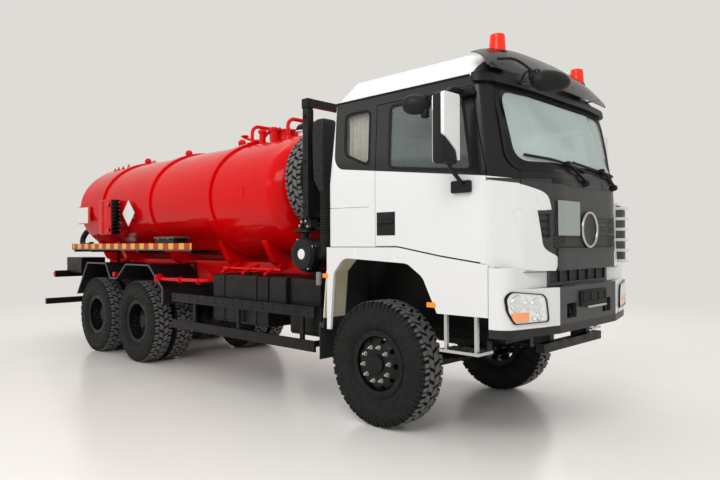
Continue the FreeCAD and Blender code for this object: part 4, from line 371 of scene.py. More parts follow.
class Finish:
    """A node material that is built up step by step; positions are in metres on the truck."""

    def __init__(self, name, colour, roughness, metallic=0.0, coat=0.0, shine=0.5, alpha=1.0):
        self.material = bpy.data.materials.new(name)
        self.material.use_nodes = True
        self.tree = self.material.node_tree
        self.shader = self.tree.nodes["Principled BSDF"]
        self.place = self.tree.nodes.new("ShaderNodeTexCoord").outputs["Object"]
        self.axes = None
        self.height = None
        given = {"Base Color": (*colour, 1.0), "Roughness": roughness, "Metallic": metallic, "IOR": 1.5,
                 "Specular IOR Level": shine, "Alpha": alpha}
        if coat:
            given.update({"Coat Weight": coat, "Coat Roughness": 0.04})
        for key, value in given.items():
            self.shader.inputs[key].default_value = value

    def node(self, kind, inputs=(), **settings):
        made = self.tree.nodes.new(kind)
        for key, value in settings.items():
            setattr(made, key, value)
        for key, value in dict(inputs).items():
            if isinstance(value, bpy.types.NodeSocket):
                self.tree.links.new(value, made.inputs[key])
            else:
                made.inputs[key].default_value = value
        return made

    def axis(self, letter):
        """Position along x, y or z."""
        if self.axes is None:
            self.axes = self.node("ShaderNodeSeparateXYZ", {0: self.place})
        return self.axes.outputs[letter.upper()]

    def across(self):
        """Distance from the truck's middle plane."""
        return self.math("ABSOLUTE", self.axis("y"))

    def math(self, operation, *values):
        return self.node("ShaderNodeMath", dict(enumerate(values)), operation=operation).outputs[0]

    def wave(self, value, rate):
        """Sine of a value times a rate."""
        return self.math("SINE", self.math("MULTIPLY", value, rate))

    def ramp(self, value, start, end, low=0.0, high=1.0):
        """Value taken from start-end to low-high, smoothly and clamped."""
        return self.node("ShaderNodeMapRange", {0: value, 1: start, 2: end, 3: low, 4: high},
                         interpolation_type="SMOOTHSTEP").outputs[0]

    def where(self, *limits):
        """1 where each (value, start, end) has passed from start to end, 0 elsewhere."""
        share = self.ramp(*limits[0])
        for limit in limits[1:]:
            share = self.math("MULTIPLY", share, self.ramp(*limit))
        return share

    def noise(self, scale, detail, stretch=(1, 1, 1)):
        """Cloudy noise with about scale bumps to the metre."""
        place = self.place
        if stretch != (1, 1, 1):
            place = self.node("ShaderNodeMapping", {"Vector": place, "Scale": stretch}).outputs[0]
        return self.node("ShaderNodeTexNoise", {"Vector": place, "Scale": scale, "Detail": detail,
                                                "Roughness": 0.55}).outputs[0]

    def cells(self, scale):
        return self.node("ShaderNodeTexVoronoi", {"Vector": self.place, "Scale": scale}, feature="F1").outputs[0]

    def mix(self, share, first, second):
        """Colour between two colours or sockets."""
        made = self.node("ShaderNodeMix", {0: share}, data_type="RGBA")
        for socket, value in ((made.inputs[6], first), (made.inputs[7], second)):
            if isinstance(value, bpy.types.NodeSocket):
                self.tree.links.new(value, socket)
            else:
                socket.default_value = (*value, 1.0)
        return made.outputs[2]

    def set(self, name, value):
        self.tree.links.new(value, self.shader.inputs[name])
        return self

    def current(self, name):
        socket = self.shader.inputs[name]
        return socket.links[0].from_socket if socket.is_linked else socket.default_value

    def zone(self, share, colour, roughness=None):
        """Another colour, and roughness, where share is 1."""
        before = self.current("Base Color")
        before = before if isinstance(before, bpy.types.NodeSocket) else tuple(before)[:3]
        self.set("Base Color", self.mix(share, before, colour))
        if roughness is not None:
            rough = self.current("Roughness")
            self.set("Roughness", self.node("ShaderNodeMix", {0: share, 2: rough, 3: roughness}).outputs[0])
        return self

    def mottle(self, scale, amount, colour):
        """Cloudy darkening or dusting of the base colour."""
        return self.zone(self.ramp(self.noise(scale, 4.0), 0.42, 0.75, 0.0, amount), colour)

    def gloss(self, scale, low, high):
        """Roughness that wanders between low and high."""
        return self.set("Roughness", self.ramp(self.noise(scale, 3.0), 0.3, 0.7, low, high))

    def raise_by(self, value, depth):
        """Adds value times depth, in metres, to the bump height."""
        step = self.math("MULTIPLY", value, depth)
        self.height = step if self.height is None else self.math("ADD", self.height, step)
        return self

    def grain(self, scale, detail, depth, stretch=(1, 1, 1)):
        """Cloudy unevenness of the surface."""
        return self.raise_by(self.noise(scale, detail, stretch), depth)

    def pits(self, scale, depth):
        """Leather-like cells in the surface."""
        return self.raise_by(self.cells(scale), depth)

    def peel(self, depth=0.00005):
        """Fine waviness of sprayed paint."""
        return self.grain(260.0, 1.0, depth)

    def done(self):
        if self.height is not None:
            bump = self.node("ShaderNodeBump", {"Height": self.height, "Distance": 1.0, "Strength": 1.0})
            self.set("Normal", bump.outputs[0])
        return self.material


def grey(value):
    return value, value, value


# Finishes with no zones: material, colour or the name of a user's colour, roughness, settings, and steps with values
PLAIN_FINISHES = {
    "white": ("white_paint", "cab_white", 0.22, {"coat": 0.25},
              [("mottle", 2.3, 0.035, (0.45, 0.44, 0.42)), ("gloss", 6.0, 0.2, 0.28), ("peel",)]),
    "trim": ("trim_grey", "trim_grey", 0.4, {"shine": 0.35},
             [("mottle", 5.0, 0.25, grey(0.07)), ("grain", 900.0, 2.0, 0.00006)]),
    "tank": ("tank_paint", "tank_red", 0.14, {"shine": 0.14},
             [("mottle", 1.6, 0.28, (0.42, 0.002, 0.006)), ("gloss", 4.0, 0.1, 0.18),
              ("grain", 2.2, 2.0, 0.006, (0.7, 1.0, 1.3)), ("peel", 0.00001)]),
    "red": ("red_paint", "tank_red", 0.2, {"shine": 0.16},
            [("mottle", 6.0, 0.25, (0.36, 0.002, 0.006)), ("peel", 0.0001)]),
    "black": ("chassis_paint", "chassis_black", 0.34, {"shine": 0.2},
              [("mottle", 7.0, 0.35, (0.02, 0.0195, 0.019)), ("gloss", 9.0, 0.3, 0.5), ("grain", 160.0, 3.0, 0.00018)]),
    "iron": ("cast_iron", grey(0.01), 0.5, {"shine": 0.25},
             [("mottle", 18.0, 0.5, (0.025, 0.024, 0.023)), ("grain", 220.0, 4.0, 0.0006)]),
    "moulded": ("moulded_black", (0.008, 0.008, 0.0085), 0.45, {"shine": 0.22},
                [("mottle", 9.0, 0.35, grey(0.018)), ("pits", 700.0, 0.00012)]),
    "gloss": ("gloss_black", (0.004, 0.004, 0.0045), 0.16, {"shine": 0.25},
              [("mottle", 5.0, 0.3, grey(0.015)), ("peel",)]),
    "rubber": ("rubber", grey(0.006), 0.58, {"shine": 0.25},
               [("mottle", 30.0, 0.4, grey(0.015)), ("grain", 500.0, 2.0, 0.0001)]),
    "bright": ("bright_steel", (0.56, 0.56, 0.55), 0.3, {"metallic": 1.0},
               [("gloss", 30.0, 0.22, 0.42), ("grain", 240.0, 2.0, 0.00008, (1, 8, 1))]),
    "steel": ("dull_steel", grey(0.33), 0.42, {"metallic": 0.9},
              [("mottle", 40.0, 0.5, (0.16, 0.15, 0.14)), ("grain", 400.0, 3.0, 0.0001)]),
    "mirror": ("mirror_glass", (0.86, 0.88, 0.88), 0.03, {"metallic": 1.0}, [("gloss", 8.0, 0.02, 0.05)]),
    "window": ("window_glass", (0.11, 0.14, 0.135), 0.02, {"alpha": 0.5}, [("gloss", 5.0, 0.02, 0.06)]),
    "clear": ("lamp_glass", (0.9, 0.92, 0.94), 0.02, {"alpha": 0.1}, [("gloss", 5.0, 0.02, 0.06)]),
    "smoked": ("smoked_plastic", (0.03, 0.032, 0.034), 0.14, {"alpha": 0.8}, [("gloss", 7.0, 0.08, 0.18)]),
    "front_plate": ("front_plate", (0.27, 0.31, 0.30), 0.3, {"coat": 0.3},
                    [("mottle", 8.0, 0.12, (0.2, 0.22, 0.22)), ("peel",)]),
    "plate": ("plain_white", (0.78, 0.78, 0.76), 0.35, {}, [("mottle", 12.0, 0.1, grey(0.4)), ("peel",)]),
    "grey_black": ("dark_strip", grey(0.07), 0.4, {}, [("mottle", 14.0, 0.2, grey(0.04))]),
    "grey": ("grey_plastic", grey(0.2), 0.55, {}, [("mottle", 9.0, 0.3, grey(0.1)), ("pits", 500.0, 0.0001)]),
}
CORNER = 0.13


def plain_finish(name, colour, roughness, settings, steps):
    colour = getattr(colours(), colour) if isinstance(colour, str) else colour
    finish = Finish(name, colour, roughness, **settings)
    for method, *values in steps:
        getattr(finish, method)(*values)
    return finish.done()


def cab_paint():
    """White, with the black band round the windows between the falling belt line and the drip rail."""
    finish = Finish("cab_paint", colours().cab_white, 0.22, coat=0.12, shine=0.3)
    finish.mottle(2.3, 0.035, (0.45, 0.44, 0.42))
    x, z = finish.axis("x"), finish.axis("z")
    belt_height = finish.math("ADD", finish.math("MULTIPLY", x, -0.114), 2.4885 + 0.114 * FRONT_AXLE)
    over_belt = finish.math("SUBTRACT", z, belt_height)
    short = [finish.math("MAXIMUM", 0.0, finish.math("SUBTRACT", CORNER, value))
             for value in (finish.math("SUBTRACT", x, FRONT_AXLE - 0.546), over_belt)]
    corner = finish.math("SQRT", finish.math("ADD", *[finish.math("POWER", value, 2.0) for value in short]))
    band = finish.where((over_belt, 0.0, 0.002), (z, 3.218, 3.214), (corner, CORNER + 0.001, CORNER - 0.001))
    finish.zone(band, (0.005, 0.005, 0.0055), 0.34)
    finish.zone(finish.where((z, 1.60, 1.58)), grey(0.03), 0.6)
    return finish.peel().done()


def roof_paint():
    """White roof panel whose front lip, above the windscreen, is black."""
    finish = Finish("roof_paint", colours().cab_white, 0.24, coat=0.15, shine=0.3)
    finish.mottle(2.0, 0.05, (0.4, 0.4, 0.38))
    corner = finish.where((finish.axis("x"), 4.592, 4.597), (finish.axis("z"), 3.462, 3.456))
    return finish.zone(corner, (0.012, 0.012, 0.013), 0.4).peel().done()


def tyre_rubber():
    """Dull black with a dusting of grey, the tops of the tread blocks painted paler as a painted highlight of the light
    on them, with moulding lines along the ring attribute.
    """
    finish = Finish("tyre_rubber", colours().rubber_black, 0.6, shine=0.22)
    finish.mottle(14.0, 0.5, (0.02, 0.0195, 0.019))
    finish.gloss(20.0, 0.55, 0.75)
    ring = finish.node("ShaderNodeAttribute", attribute_name="ring").outputs["Fac"]
    # Painted highlight: the tread block tops are painted pale grey for the light that falls on them
    finish.zone(finish.where((ring, 0.604, 0.609)), (0.12, 0.12, 0.118), 0.5)
    lines = finish.math("MULTIPLY", finish.wave(ring, TURN * 260.0), finish.where((ring, 0.575, 0.56)))
    return finish.raise_by(lines, 0.0004).grain(300.0, 3.0, 0.0004).done()


def screen_glass():
    """Windscreen painted pale, a painted reflection of the bright surroundings over the glass's green tint; the side
    windows behind the doors, cut from the same sheet, are nearly clear.
    """
    # The pale base colour is a painted reflection of the bright studio on the glass
    finish = Finish("screen_glass", (0.57, 0.69, 0.67), 0.02)
    rear = finish.where((finish.axis("x"), FRONT_AXLE + 0.3, FRONT_AXLE + 0.2))
    finish.zone(rear, (0.1, 0.12, 0.12))
    finish.set("Alpha", finish.ramp(rear, 0.0, 1.0, 0.55, 0.2))
    return finish.gloss(5.0, 0.02, 0.06).done()


def lens(name, colour, glow):
    """Coloured lens with fine prisms behind its face, and a faint painted glow that stands in for light passing through
    the unlit lens.
    """
    finish = Finish(name, colour, 0.14, shine=0.35)
    prism = finish.wave(finish.axis("z"), 700.0)
    finish.zone(finish.ramp(prism, 0.4, 1.0, 0.0, 0.3), tuple(c * 0.4 for c in colour))
    # Painted light: the lens glows faintly although the lamp is off
    finish.shader.inputs["Emission Color"].default_value = (*colour, 1.0)
    finish.shader.inputs["Emission Strength"].default_value = glow
    return finish.raise_by(prism, 0.0002).done()


def bumper_paint():
    """White corners, grey middle and set-back top, painted shade in the vent and a black lower lip."""
    finish = Finish("bumper_paint", colours().cab_white, 0.24, coat=0.12, shine=0.35)
    finish.mottle(2.3, 0.035, (0.45, 0.44, 0.42))
    across, z = finish.across(), finish.axis("z")
    middle = finish.where((across, 0.602, 0.598))
    high = finish.where((z, 1.398, 1.402), (across, 0.64, 0.636))
    finish.zone(finish.math("MAXIMUM", middle, high), colours().trim_grey, 0.42)
    finish.zone(finish.where((z, 1.074, 1.07)), (0.01, 0.01, 0.011), 0.5)
    # Painted shade: the vent recess is painted near black for the shadow inside it
    vent_shade = finish.where((z, 1.4305, 1.4335), (z, 1.5315, 1.5285), (across, 0.59, 0.586))
    return finish.zone(vent_shade, grey(0.006), 0.5).peel().done()


def liner_plastic():
    """Black wheel housing whose rear wall, behind the front wheel, is cream."""
    finish = Finish("liner_plastic", (0.016, 0.016, 0.017), 0.55)
    finish.mottle(9.0, 0.35, grey(0.045))
    cream = finish.where((finish.axis("x"), FRONT_AXLE - 0.45, FRONT_AXLE - 0.46), (finish.across(), 0.9, 0.91),
                         (finish.axis("z"), 1.0, 1.01))
    return finish.zone(cream, (0.78, 0.71, 0.52), 0.5).done()


def board_stripes():
    """Yellow board with red squares, one pair every two squares along the truck."""
    finish = Finish("board_stripes", (0.75, 0.42, 0.01), 0.35)
    pitch = sizes().board_square
    along = finish.math("FRACT", finish.math("DIVIDE", finish.axis("x"), 2 * pitch))
    finish.zone(finish.where((along, 0.0, 0.01), (along, 0.51, 0.5)), (0.45, 0.01, 0.01))
    joints = finish.math("FRACT", finish.math("DIVIDE", finish.axis("x"), pitch))
    return finish.zone(finish.where((joints, 0.06, 0.03)), grey(0.02)).peel(0.0001).done()


def cloth(name, colour):
    """Woven cloth: crossed threads as two sines, with slow shading."""
    finish = Finish(name, colour, 0.85, shine=0.2)
    finish.shader.inputs["Sheen Weight"].default_value = 0.2
    threads = finish.math("ADD", finish.wave(finish.axis("z"), 2600.0), finish.wave(finish.axis("y"), 2600.0))
    finish.mottle(20.0, 0.35, tuple(c * 0.5 for c in colour))
    return finish.raise_by(threads, 0.0002).done()


def lamp_reflector():
    """Near-white, barely metallic paint with fine upright flutes: a painted reflection, standing for the bright light
    that a chrome reflector shows.
    """
    # Painted reflection: the reflector is painted near white in place of mirror chrome
    finish = Finish("lamp_reflector", (0.95, 0.95, 0.96), 0.2, metallic=0.1)
    finish.mottle(24.0, 0.25, (0.3, 0.31, 0.33))
    return finish.raise_by(finish.wave(finish.axis("y"), 420.0), 0.0004).done()


def pierced_plastic():
    """Black plastic with rows of small pits, painted darker inside as painted shade in the holes."""
    finish = Finish("pierced_plastic", (0.012, 0.012, 0.0125), 0.5, shine=0.25)
    pits = finish.cells(26.0)
    # Painted shade: the pits are painted darker for the shadow inside the holes
    finish.zone(finish.where((pits, 0.3, 0.22)), grey(0.003), 0.7)
    return finish.raise_by(finish.where((pits, 0.15, 0.35)), 0.002).done()


ZONED_FINISHES = {
    "cab": (cab_paint,), "roof": (roof_paint,), "tyre": (tyre_rubber,), "screen": (screen_glass,),
    "bumper": (bumper_paint,), "liner": (liner_plastic,), "board": (board_stripes,),
    "reflector": (lamp_reflector,), "pierced": (pierced_plastic,),
    # The last value of each lens is its painted glow, for lamps that are not lit
    "red_lens": (lens, "red_lens", (0.85, 0.022, 0.004), 0.12),
    "amber_lens": (lens, "amber_lens", (0.95, 0.27, 0.0), 0.15),
    "seat_cloth": (cloth, "seat_cloth", (0.06, 0.06, 0.065)),
    "curtain": (cloth, "curtain_cloth", (0.8, 0.76, 0.66)),
}
finishes = {}


def finish_of(name):
    """The finish of that name, made on first use."""
    if name not in finishes:
        maker, *values = ZONED_FINISHES.get(name) or (plain_finish, *PLAIN_FINISHES[name])
        finishes[name] = maker(*values)
    return finishes[name]


# Stage


BACKDROP = (0.735, 0.715, 0.68, 1.0)
FLOOR_REACH, FLOOR_POINTS = 60.0, 25
LAMPS = (("key", (6.5, -7.5, 7.5), (1.5, 0.0, 1.5), (5.0, 3.0), 320.0),
         ("side", (-3.0, -10.0, 6.0), (-1.0, 0.0, 1.8), (9.0, 2.0), 90.0),
         ("top", (0.0, 0.0, 9.0), (0.0, 0.0, 0.0), (11.0, 3.0), 130.0),
         ("far", (-3.0, 9.0, 6.0), (0.0, 0.0, 1.5), (8.0, 3.0), 180.0))
CAMERA_PLACE, CAMERA_LENS = (7.5857, -5.6821, 1.7885), 31.196
CAMERA_YAW, CAMERA_PITCH, CAMERA_ROLL = math.radians(46.04), math.radians(0.30), math.radians(-0.252)


def lay_floor(scene):
    """Glossy floor whose shader fades into the backdrop with distance."""
    floor = Finish("studio_floor", colours().floor_tone, 0.3)
    away = floor.math("SQRT", floor.math("ADD", *[floor.math("POWER", floor.axis(key), 2.0) for key in "xy"]))
    floor.gloss(0.5, 0.2, 0.26)
    glow = floor.node("ShaderNodeEmission", {"Color": BACKDROP, "Strength": 1.0}).outputs[0]
    fade = floor.node("ShaderNodeMixShader", {0: floor.ramp(away, 7.0, 19.0), 1: floor.shader.outputs[0], 2: glow})
    floor.tree.links.new(fade.outputs[0], floor.tree.nodes["Material Output"].inputs[0])
    side = np.linspace(-FLOOR_REACH, FLOOR_REACH, FLOOR_POINTS)
    points, faces = lattice(np.stack(np.broadcast_arrays(side[:, None], side[None], 0.0), -1))
    data = bpy.data.meshes.new("studio_floor")
    data.from_pydata(points.tolist(), [], faces[0].tolist())
    data.materials.append(floor.material)
    made = bpy.data.objects.new("studio_floor", data)
    scene.collection.objects.link(made)


def light_world(scene):
    """Even white light, with the backdrop in its place for the camera, reflections and glass."""
    world = bpy.data.worlds.new("studio")
    world.use_nodes = True
    tree = world.node_tree
    shade, seen = tree.nodes["Background"], tree.nodes.new("ShaderNodeBackground")
    shade.inputs["Color"].default_value = (1.0, 0.995, 0.985, 1.0)
    shade.inputs["Strength"].default_value = 0.84
    seen.inputs["Color"].default_value = BACKDROP
    path = tree.nodes.new("ShaderNodeLightPath")
    blend = tree.nodes.new("ShaderNodeMixShader")
    shown = path.outputs["Is Camera Ray"]
    for kind in ("Is Glossy Ray", "Is Transmission Ray"):
        either = tree.nodes.new("ShaderNodeMath")
        either.operation = "MAXIMUM"
        tree.links.new(shown, either.inputs[0])
        tree.links.new(path.outputs[kind], either.inputs[1])
        shown = either.outputs[0]
    for slot, socket in enumerate((shown, shade.outputs[0], seen.outputs[0])):
        tree.links.new(socket, blend.inputs[slot])
    tree.links.new(blend.outputs[0], tree.nodes["World Output"].inputs[0])
    scene.world = world


class TANKER_OT_stage(bpy.types.Operator):
    """Pale floor that fades into the background, soft studio light and the camera"""
    bl_idname = "tanker.stage"
    bl_label = "Stage"

    def execute(self, context):
        scene = context.scene
        lay_floor(scene)
        light_world(scene)
        for name, place, target, size, power in LAMPS:
            lamp = bpy.data.lights.new(name, "AREA")
            lamp.shape, lamp.size, lamp.size_y, lamp.energy = "RECTANGLE", size[0], size[1], power
            lamp.color = (1.0, 1.0, 0.995)
            hung = bpy.data.objects.new(name, lamp)
            hung.matrix_world = Matrix(facing(np.subtract(place, target), place).tolist())
            scene.collection.objects.link(hung)

        camera = bpy.data.cameras.new("camera")
        camera.lens, camera.sensor_width, camera.sensor_fit = CAMERA_LENS, 36.0, "HORIZONTAL"
        shot = bpy.data.objects.new("camera", camera)
        ahead = Vector((-math.cos(CAMERA_YAW) * math.cos(CAMERA_PITCH), math.sin(CAMERA_YAW) * math.cos(CAMERA_PITCH),
                        math.sin(CAMERA_PITCH)))
        turn = ahead.to_track_quat("-Z", "Y").to_matrix().to_4x4() @ Matrix.Rotation(CAMERA_ROLL, 4, "Z")
        shot.matrix_world = Matrix.Translation(CAMERA_PLACE) @ turn
        scene.collection.objects.link(shot)
        scene.camera = shot
        scene.view_settings.view_transform = "Standard"
        return {"FINISHED"}


# Wheels


# Place, plural of its names, axle and rows of tyres
WHEELS = (("front", "", AXLES[0], (OUTER_ROW,)),
          ("middle", "s", AXLES[1], (OUTER_ROW, INNER_ROW)),
          ("rear", "s", AXLES[2], (OUTER_ROW, INNER_ROW)))
NUTS, HUB_BOLTS = 10, 6
FRONT_DISC, TWIN_DISC = OUTER_ROW + 0.125, (OUTER_ROW + INNER_ROW) / 2 + 0.016
RIM_LIP = [(0.318, 0.0), (0.327, 0.004), (0.3295, 0.0), (0.327, -0.006), (0.318, -0.004)]
CHAMFER = 0.0035


def tyre_form(radius, width, blocks, depth):
    """Tyre about Y: a revolved carcass, and on it rows of tread blocks, each a cross-section (y, radius) carried
    along the circumference by an angle that leans with y."""
    base, crown, half = radius - depth, radius, width / 2
    side = [(0.3055, -0.105), (0.316, -0.1085), (0.331, -0.111), (0.345, -0.127), (0.372, -0.146), (0.41, -0.157),
            (0.45, -half), (0.492, -0.1585), (0.505, -0.1555), (0.512, -0.1565), (0.552, -0.149),
            (base - 0.01, -0.131), (base, -0.112)]
    profile = side + [(base + 0.001, 0.0)] + [(r, -y) for r, y in reversed(side)]
    carcass = revolved(profile, ORIGIN, steps=96, closed=True)
    pitch = TURN / blocks

    def bar(section, start, end, lean):
        """One block: section (y, r) over the shares start to end of a pitch, its crown pulled in by the chamfer."""
        section = np.asarray(section, float)
        low_r = section[:, 1].min()
        pull = np.clip((section[:, 1] - low_r) / (section[:, 1].max() - low_r + 1e-9), 0, 1) * CHAMFER / radius
        share = np.linspace(0, 1, 3)
        angle = (start * pitch + pull)[:, None] * (1 - share) + (end * pitch - pull)[:, None] * share
        angle = angle + lean * section[:, :1] / radius
        y, r = section[:, :1], section[:, 1:]
        return hull(np.stack([r * np.sin(angle), y + 0 * angle, r * np.cos(angle)], -1).transpose(1, 0, 2))

    shoulder = [(0.078, base - 0.006), (0.0805, crown), (0.118, crown - 0.001), (0.134, crown - 0.008),
                (0.151, crown - 0.044), (0.1535, crown - 0.075), (0.147, crown - 0.08), (0.11, base - 0.01)]
    notch = [(0.1, base - 0.004), (0.101, crown - 0.0105), (0.136, crown - 0.02), (0.128, base - 0.012)]
    middle = [(0.007, base - 0.004), (0.0085, crown), (0.04, crown), (0.0685, crown), (0.0705, base - 0.004)]
    one = merged([bar(shoulder, -0.335, 0.05, 0.12), bar(shoulder, 0.12, 0.42, 0.12), bar(notch, 0.0, 0.2, 0.12),
                  bar(middle, -0.31, 0.43, -0.5)])
    angles = np.arange(blocks) * pitch
    return merged([carcass, turned(one, angles), turned(scaled(one, (1.0, -1.0, 1.0)), angles + pitch / 2)])


def truck_tyre():
    """Tyre with the user's sizes."""
    own = sizes()
    return tyre_form(own.tyre_radius, own.tyre_width, own.tread_blocks, own.tread_depth)


def mark_rings(made, centre, plane=(0, 2)):
    """Writes each point's distance from the wheel's axis, measured in the plane of two axes, as the attribute ring."""
    data = made.data
    places = np.zeros(len(data.vertices) * 3)
    data.vertices.foreach_get("co", places)
    places = places.reshape(-1, 3) - np.asarray(centre)
    reach = np.hypot(places[:, plane[0]], places[:, plane[1]])
    data.attributes.new("ring", "FLOAT", "POINT").data.foreach_set("value", reach.astype(np.float32))


class TANKER_OT_tyres(bpy.types.Operator):
    """Tyres with shoulder lugs and two rows of centre blocks"""
    bl_idname = "tanker.tyres"
    bl_label = "Tyres"

    def execute(self, context):
        form = truck_tyre()
        for side, sign in SIDES:
            facing_out = scaled(form, (1.0, sign, 1.0))
            for place, plural, x, rows in WHEELS:
                mesh = merged([set_at(facing_out, (x, sign * y, WHEEL_Z)) for y in rows])
                node, body = ["%s%s_%s_%s" % (kind, plural, place, side) for kind in ("tyre", "wheel")]
                made = piece("treaded_" + node, mesh, "tyre", body, replaces=node, angle=28)
                mark_rings(made, (x, 0.0, WHEEL_Z))
        return {"FINISHED"}


def wheel_nuts(x, disc_y, hub_y, sign):
    """Ring of flanged nuts on studs, and the bolts of the hub cap."""
    own = sizes()
    stud = revolved([(0.0105, 0.02), (0.0105, 0.044), (0.008, 0.047)], ORIGIN, UP, steps=12)
    nut = merged([hexagon(own.nut_size, 0.026), stud])
    rings = []
    for mesh, y, ring in ((nut, disc_y, ring_of(NUTS, own.stud_circle / 2, 0.1)),
                          (hexagon(0.017, 0.009), hub_y, ring_of(HUB_BOLTS, 0.076))):
        places = np.column_stack([x + ring[:, 0], np.full(len(ring), y), WHEEL_Z + ring[:, 1]])
        rings.append(set_at(mesh, places, (0, sign, 0)))
    return rings


class TANKER_OT_wheel_trim(bpy.types.Operator):
    """Wheel nuts, hub bolts, rim rings and valves, and the finish of the rims"""
    bl_idname = "tanker.wheel_trim"
    bl_label = "Wheel trim"

    def execute(self, context):
        for side, sign in SIDES:
            out = (0, sign, 0)
            for place, plural, x, _ in WHEELS:
                rim, body = ["%s%s_%s_%s" % (kind, plural, place, side) for kind in ("rim", "wheel")]
                low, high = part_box(rim)
                hub = sign * max(abs(low[1]), abs(high[1]))
                disc = sign * (FRONT_DISC if place == "front" else TWIN_DISC)
                nuts, bolts = wheel_nuts(x, disc, hub, sign)
                piece("wheel_nuts_%s_%s" % (place, side), nuts, "bright", body, angle=25)
                details = [bolts]
                if place == "front":
                    details.append(revolved([(0.0, 0.0), (0.086, 0.0), (0.09, 0.004), (0.09, 0.012)],
                                            (x, hub - sign * 0.008, WHEEL_Z), out, steps=48))
                    details.append(tube([(x - 0.2, disc - sign * 0.03, WHEEL_Z - 0.2), (x - 0.19, disc, WHEEL_Z - 0.19),
                                         (x - 0.165, disc + sign * 0.01, WHEEL_Z - 0.165)], 0.006, 0.01))
                details.append(revolved(RIM_LIP, (x, sign * (OUTER_ROW + 0.1165), WHEEL_Z), out, steps=96, closed=True))
                piece("hub_details_%s_%s" % (place, side), details, "black", body)
                dress("black", rim)
        return {"FINISHED"}


# The cab's skin as a surface


def plan_curve(corners, reaches):
    """Outline seen from above, each inner corner a quadratic arc that starts and ends at its own reach."""
    corners = np.asarray(corners, float)
    share = np.linspace(0, 1, 9)[:, None]
    path = [corners[:1]]
    for here, back, on, reach in zip(corners[1:-1], corners[:-2], corners[2:], reaches):
        start = here + (back - here) / np.linalg.norm(back - here) * reach
        end = here + (on - here) / np.linalg.norm(on - here) * reach
        path.append(start * (1 - share) ** 2 + here * 2 * share * (1 - share) + end * share ** 2)
    return np.concatenate(path + [corners[-1:]])


def cab_plan(corner, side, cheek, nose, reaches):
    """The cab's front seen from above, from the right side round to the left."""
    half = [(corner - 1.0, side), (corner, side), cheek, (nose, 0.62)]
    right = [(x, -y) for x, y in half]
    return plan_curve(right + half[::-1], reaches + reaches[::-1]) + np.array([FRONT_AXLE, 0.0])


# The cab's outline at foot, belt and drip rail, and the bumper's
PLANS = (cab_plan(1.262, SIDE_WALL, (1.464, 0.989), 1.582, (0.0436, 0.0163, 0.109)),
         cab_plan(1.262, SIDE_WALL, (1.404, 0.989), 1.582, (0.053, 0.0026, 0.16)),
         cab_plan(1.150, SIDE_WALL - 0.04, (1.215, 1.118), 1.258, (0.045, 0.0257, 0.03)))
BUMPER_PLAN = cab_plan(1.446, SIDE_WALL, (1.5, 1.02), 1.6, (0.118, 0.001, 0.001))


def over_plan(plan, y, z, lift):
    """Points of an upright skin at y and z: each row of plan is its outline seen from above, and lift moves them
    out along the level normal."""
    y, z, lift = np.broadcast_arrays(np.asarray(y, float), np.asarray(z, float), np.asarray(lift, float))
    flat_y = y.ravel()
    rows = np.arange(len(flat_y))
    left = np.clip((plan[..., 1] < flat_y[:, None]).sum(1) - 1, 0, plan.shape[1] - 2)
    start, step = plan[rows, left], plan[rows, left + 1] - plan[rows, left]
    share = (flat_y - start[:, 1]) / np.where(np.abs(step[:, 1]) < 1e-9, 1e-9, step[:, 1])
    out = lift.ravel() / np.linalg.norm(step, axis=1)
    points = np.stack([start[:, 0] + share * step[:, 0] + out * step[:, 1], flat_y - out * step[:, 0], z.ravel()], -1)
    return points.reshape(y.shape + (3,))


def front_skin(y, z, lift=0.0):
    """Cab front: the plans at foot, belt and drip rail blended by height."""
    y, z = np.broadcast_arrays(np.asarray(y, float), np.asarray(z, float))
    up = np.clip((z.ravel() - BELT) / (DRIP - BELT), 0, 1)[:, None, None]
    down = np.clip((BELT - z.ravel()) / (BELT - FOOT), 0, 1)[:, None, None]
    return over_plan(PLANS[1] + up * (PLANS[2] - PLANS[1]) + down * (PLANS[0] - PLANS[1]), y, z, lift)


def bumper_skin(y, z, lift):
    """Bumper's front, the same outline at every height."""
    y, z = np.broadcast_arrays(np.asarray(y, float), np.asarray(z, float))
    return over_plan(np.broadcast_to(BUMPER_PLAN, (y.size,) + BUMPER_PLAN.shape), y, z, lift)


def flank(x, z, lift, sign=1.0):
    """Points of the cab's side: upright below the belt line, and leaning in above it."""
    x, z = np.broadcast_arrays(np.asarray(x, float), np.asarray(z, float))
    y = SIDE_WALL - 0.04 * np.clip((z - BELT) / (DRIP - BELT), 0, 1) + lift
    return np.stack([x, sign * y, z], -1)


def front_patch(y_low, y_high, z_low, z_high, lift, thick, cells):
    """Plate that follows the cab's front between two heights and two sides."""
    y, z = np.meshgrid(np.linspace(y_low, y_high, cells[0]), np.linspace(z_low, z_high, cells[1]))
    return plated(front_skin(y, z, lift + thick), front_skin(y, z, lift))


def front_loop(corners):
    """Rounded outline given as (y, z), with points every 30 mm."""
    return spaced(soft_outline(corners, 0.15, 8), 0.03)


# Windows


SCREEN = [(-1.04, 2.43), (1.04, 2.43), (1.06, 3.15), (-1.06, 3.15)]
BORDER = [(-1.02, 2.45), (1.02, 2.45), (1.04, 3.13), (-1.04, 3.13)]
SCREEN_MIDDLE = np.array([0.0, 2.79])
BORDER_OUTER, BORDER_INNER, BORDER_RINGS = (1.02, 1.06), (0.955, 0.9), 7
SIDE_WINDOWS = (("door", "door_", [(3.685, 2.5), (4.615, 2.4), (4.495, 3.09), (3.685, 3.09)]),
                ("quarter", "cab", [(3.085, 2.685), (3.425, 2.545), (3.425, 3.09), (3.085, 3.09)]))


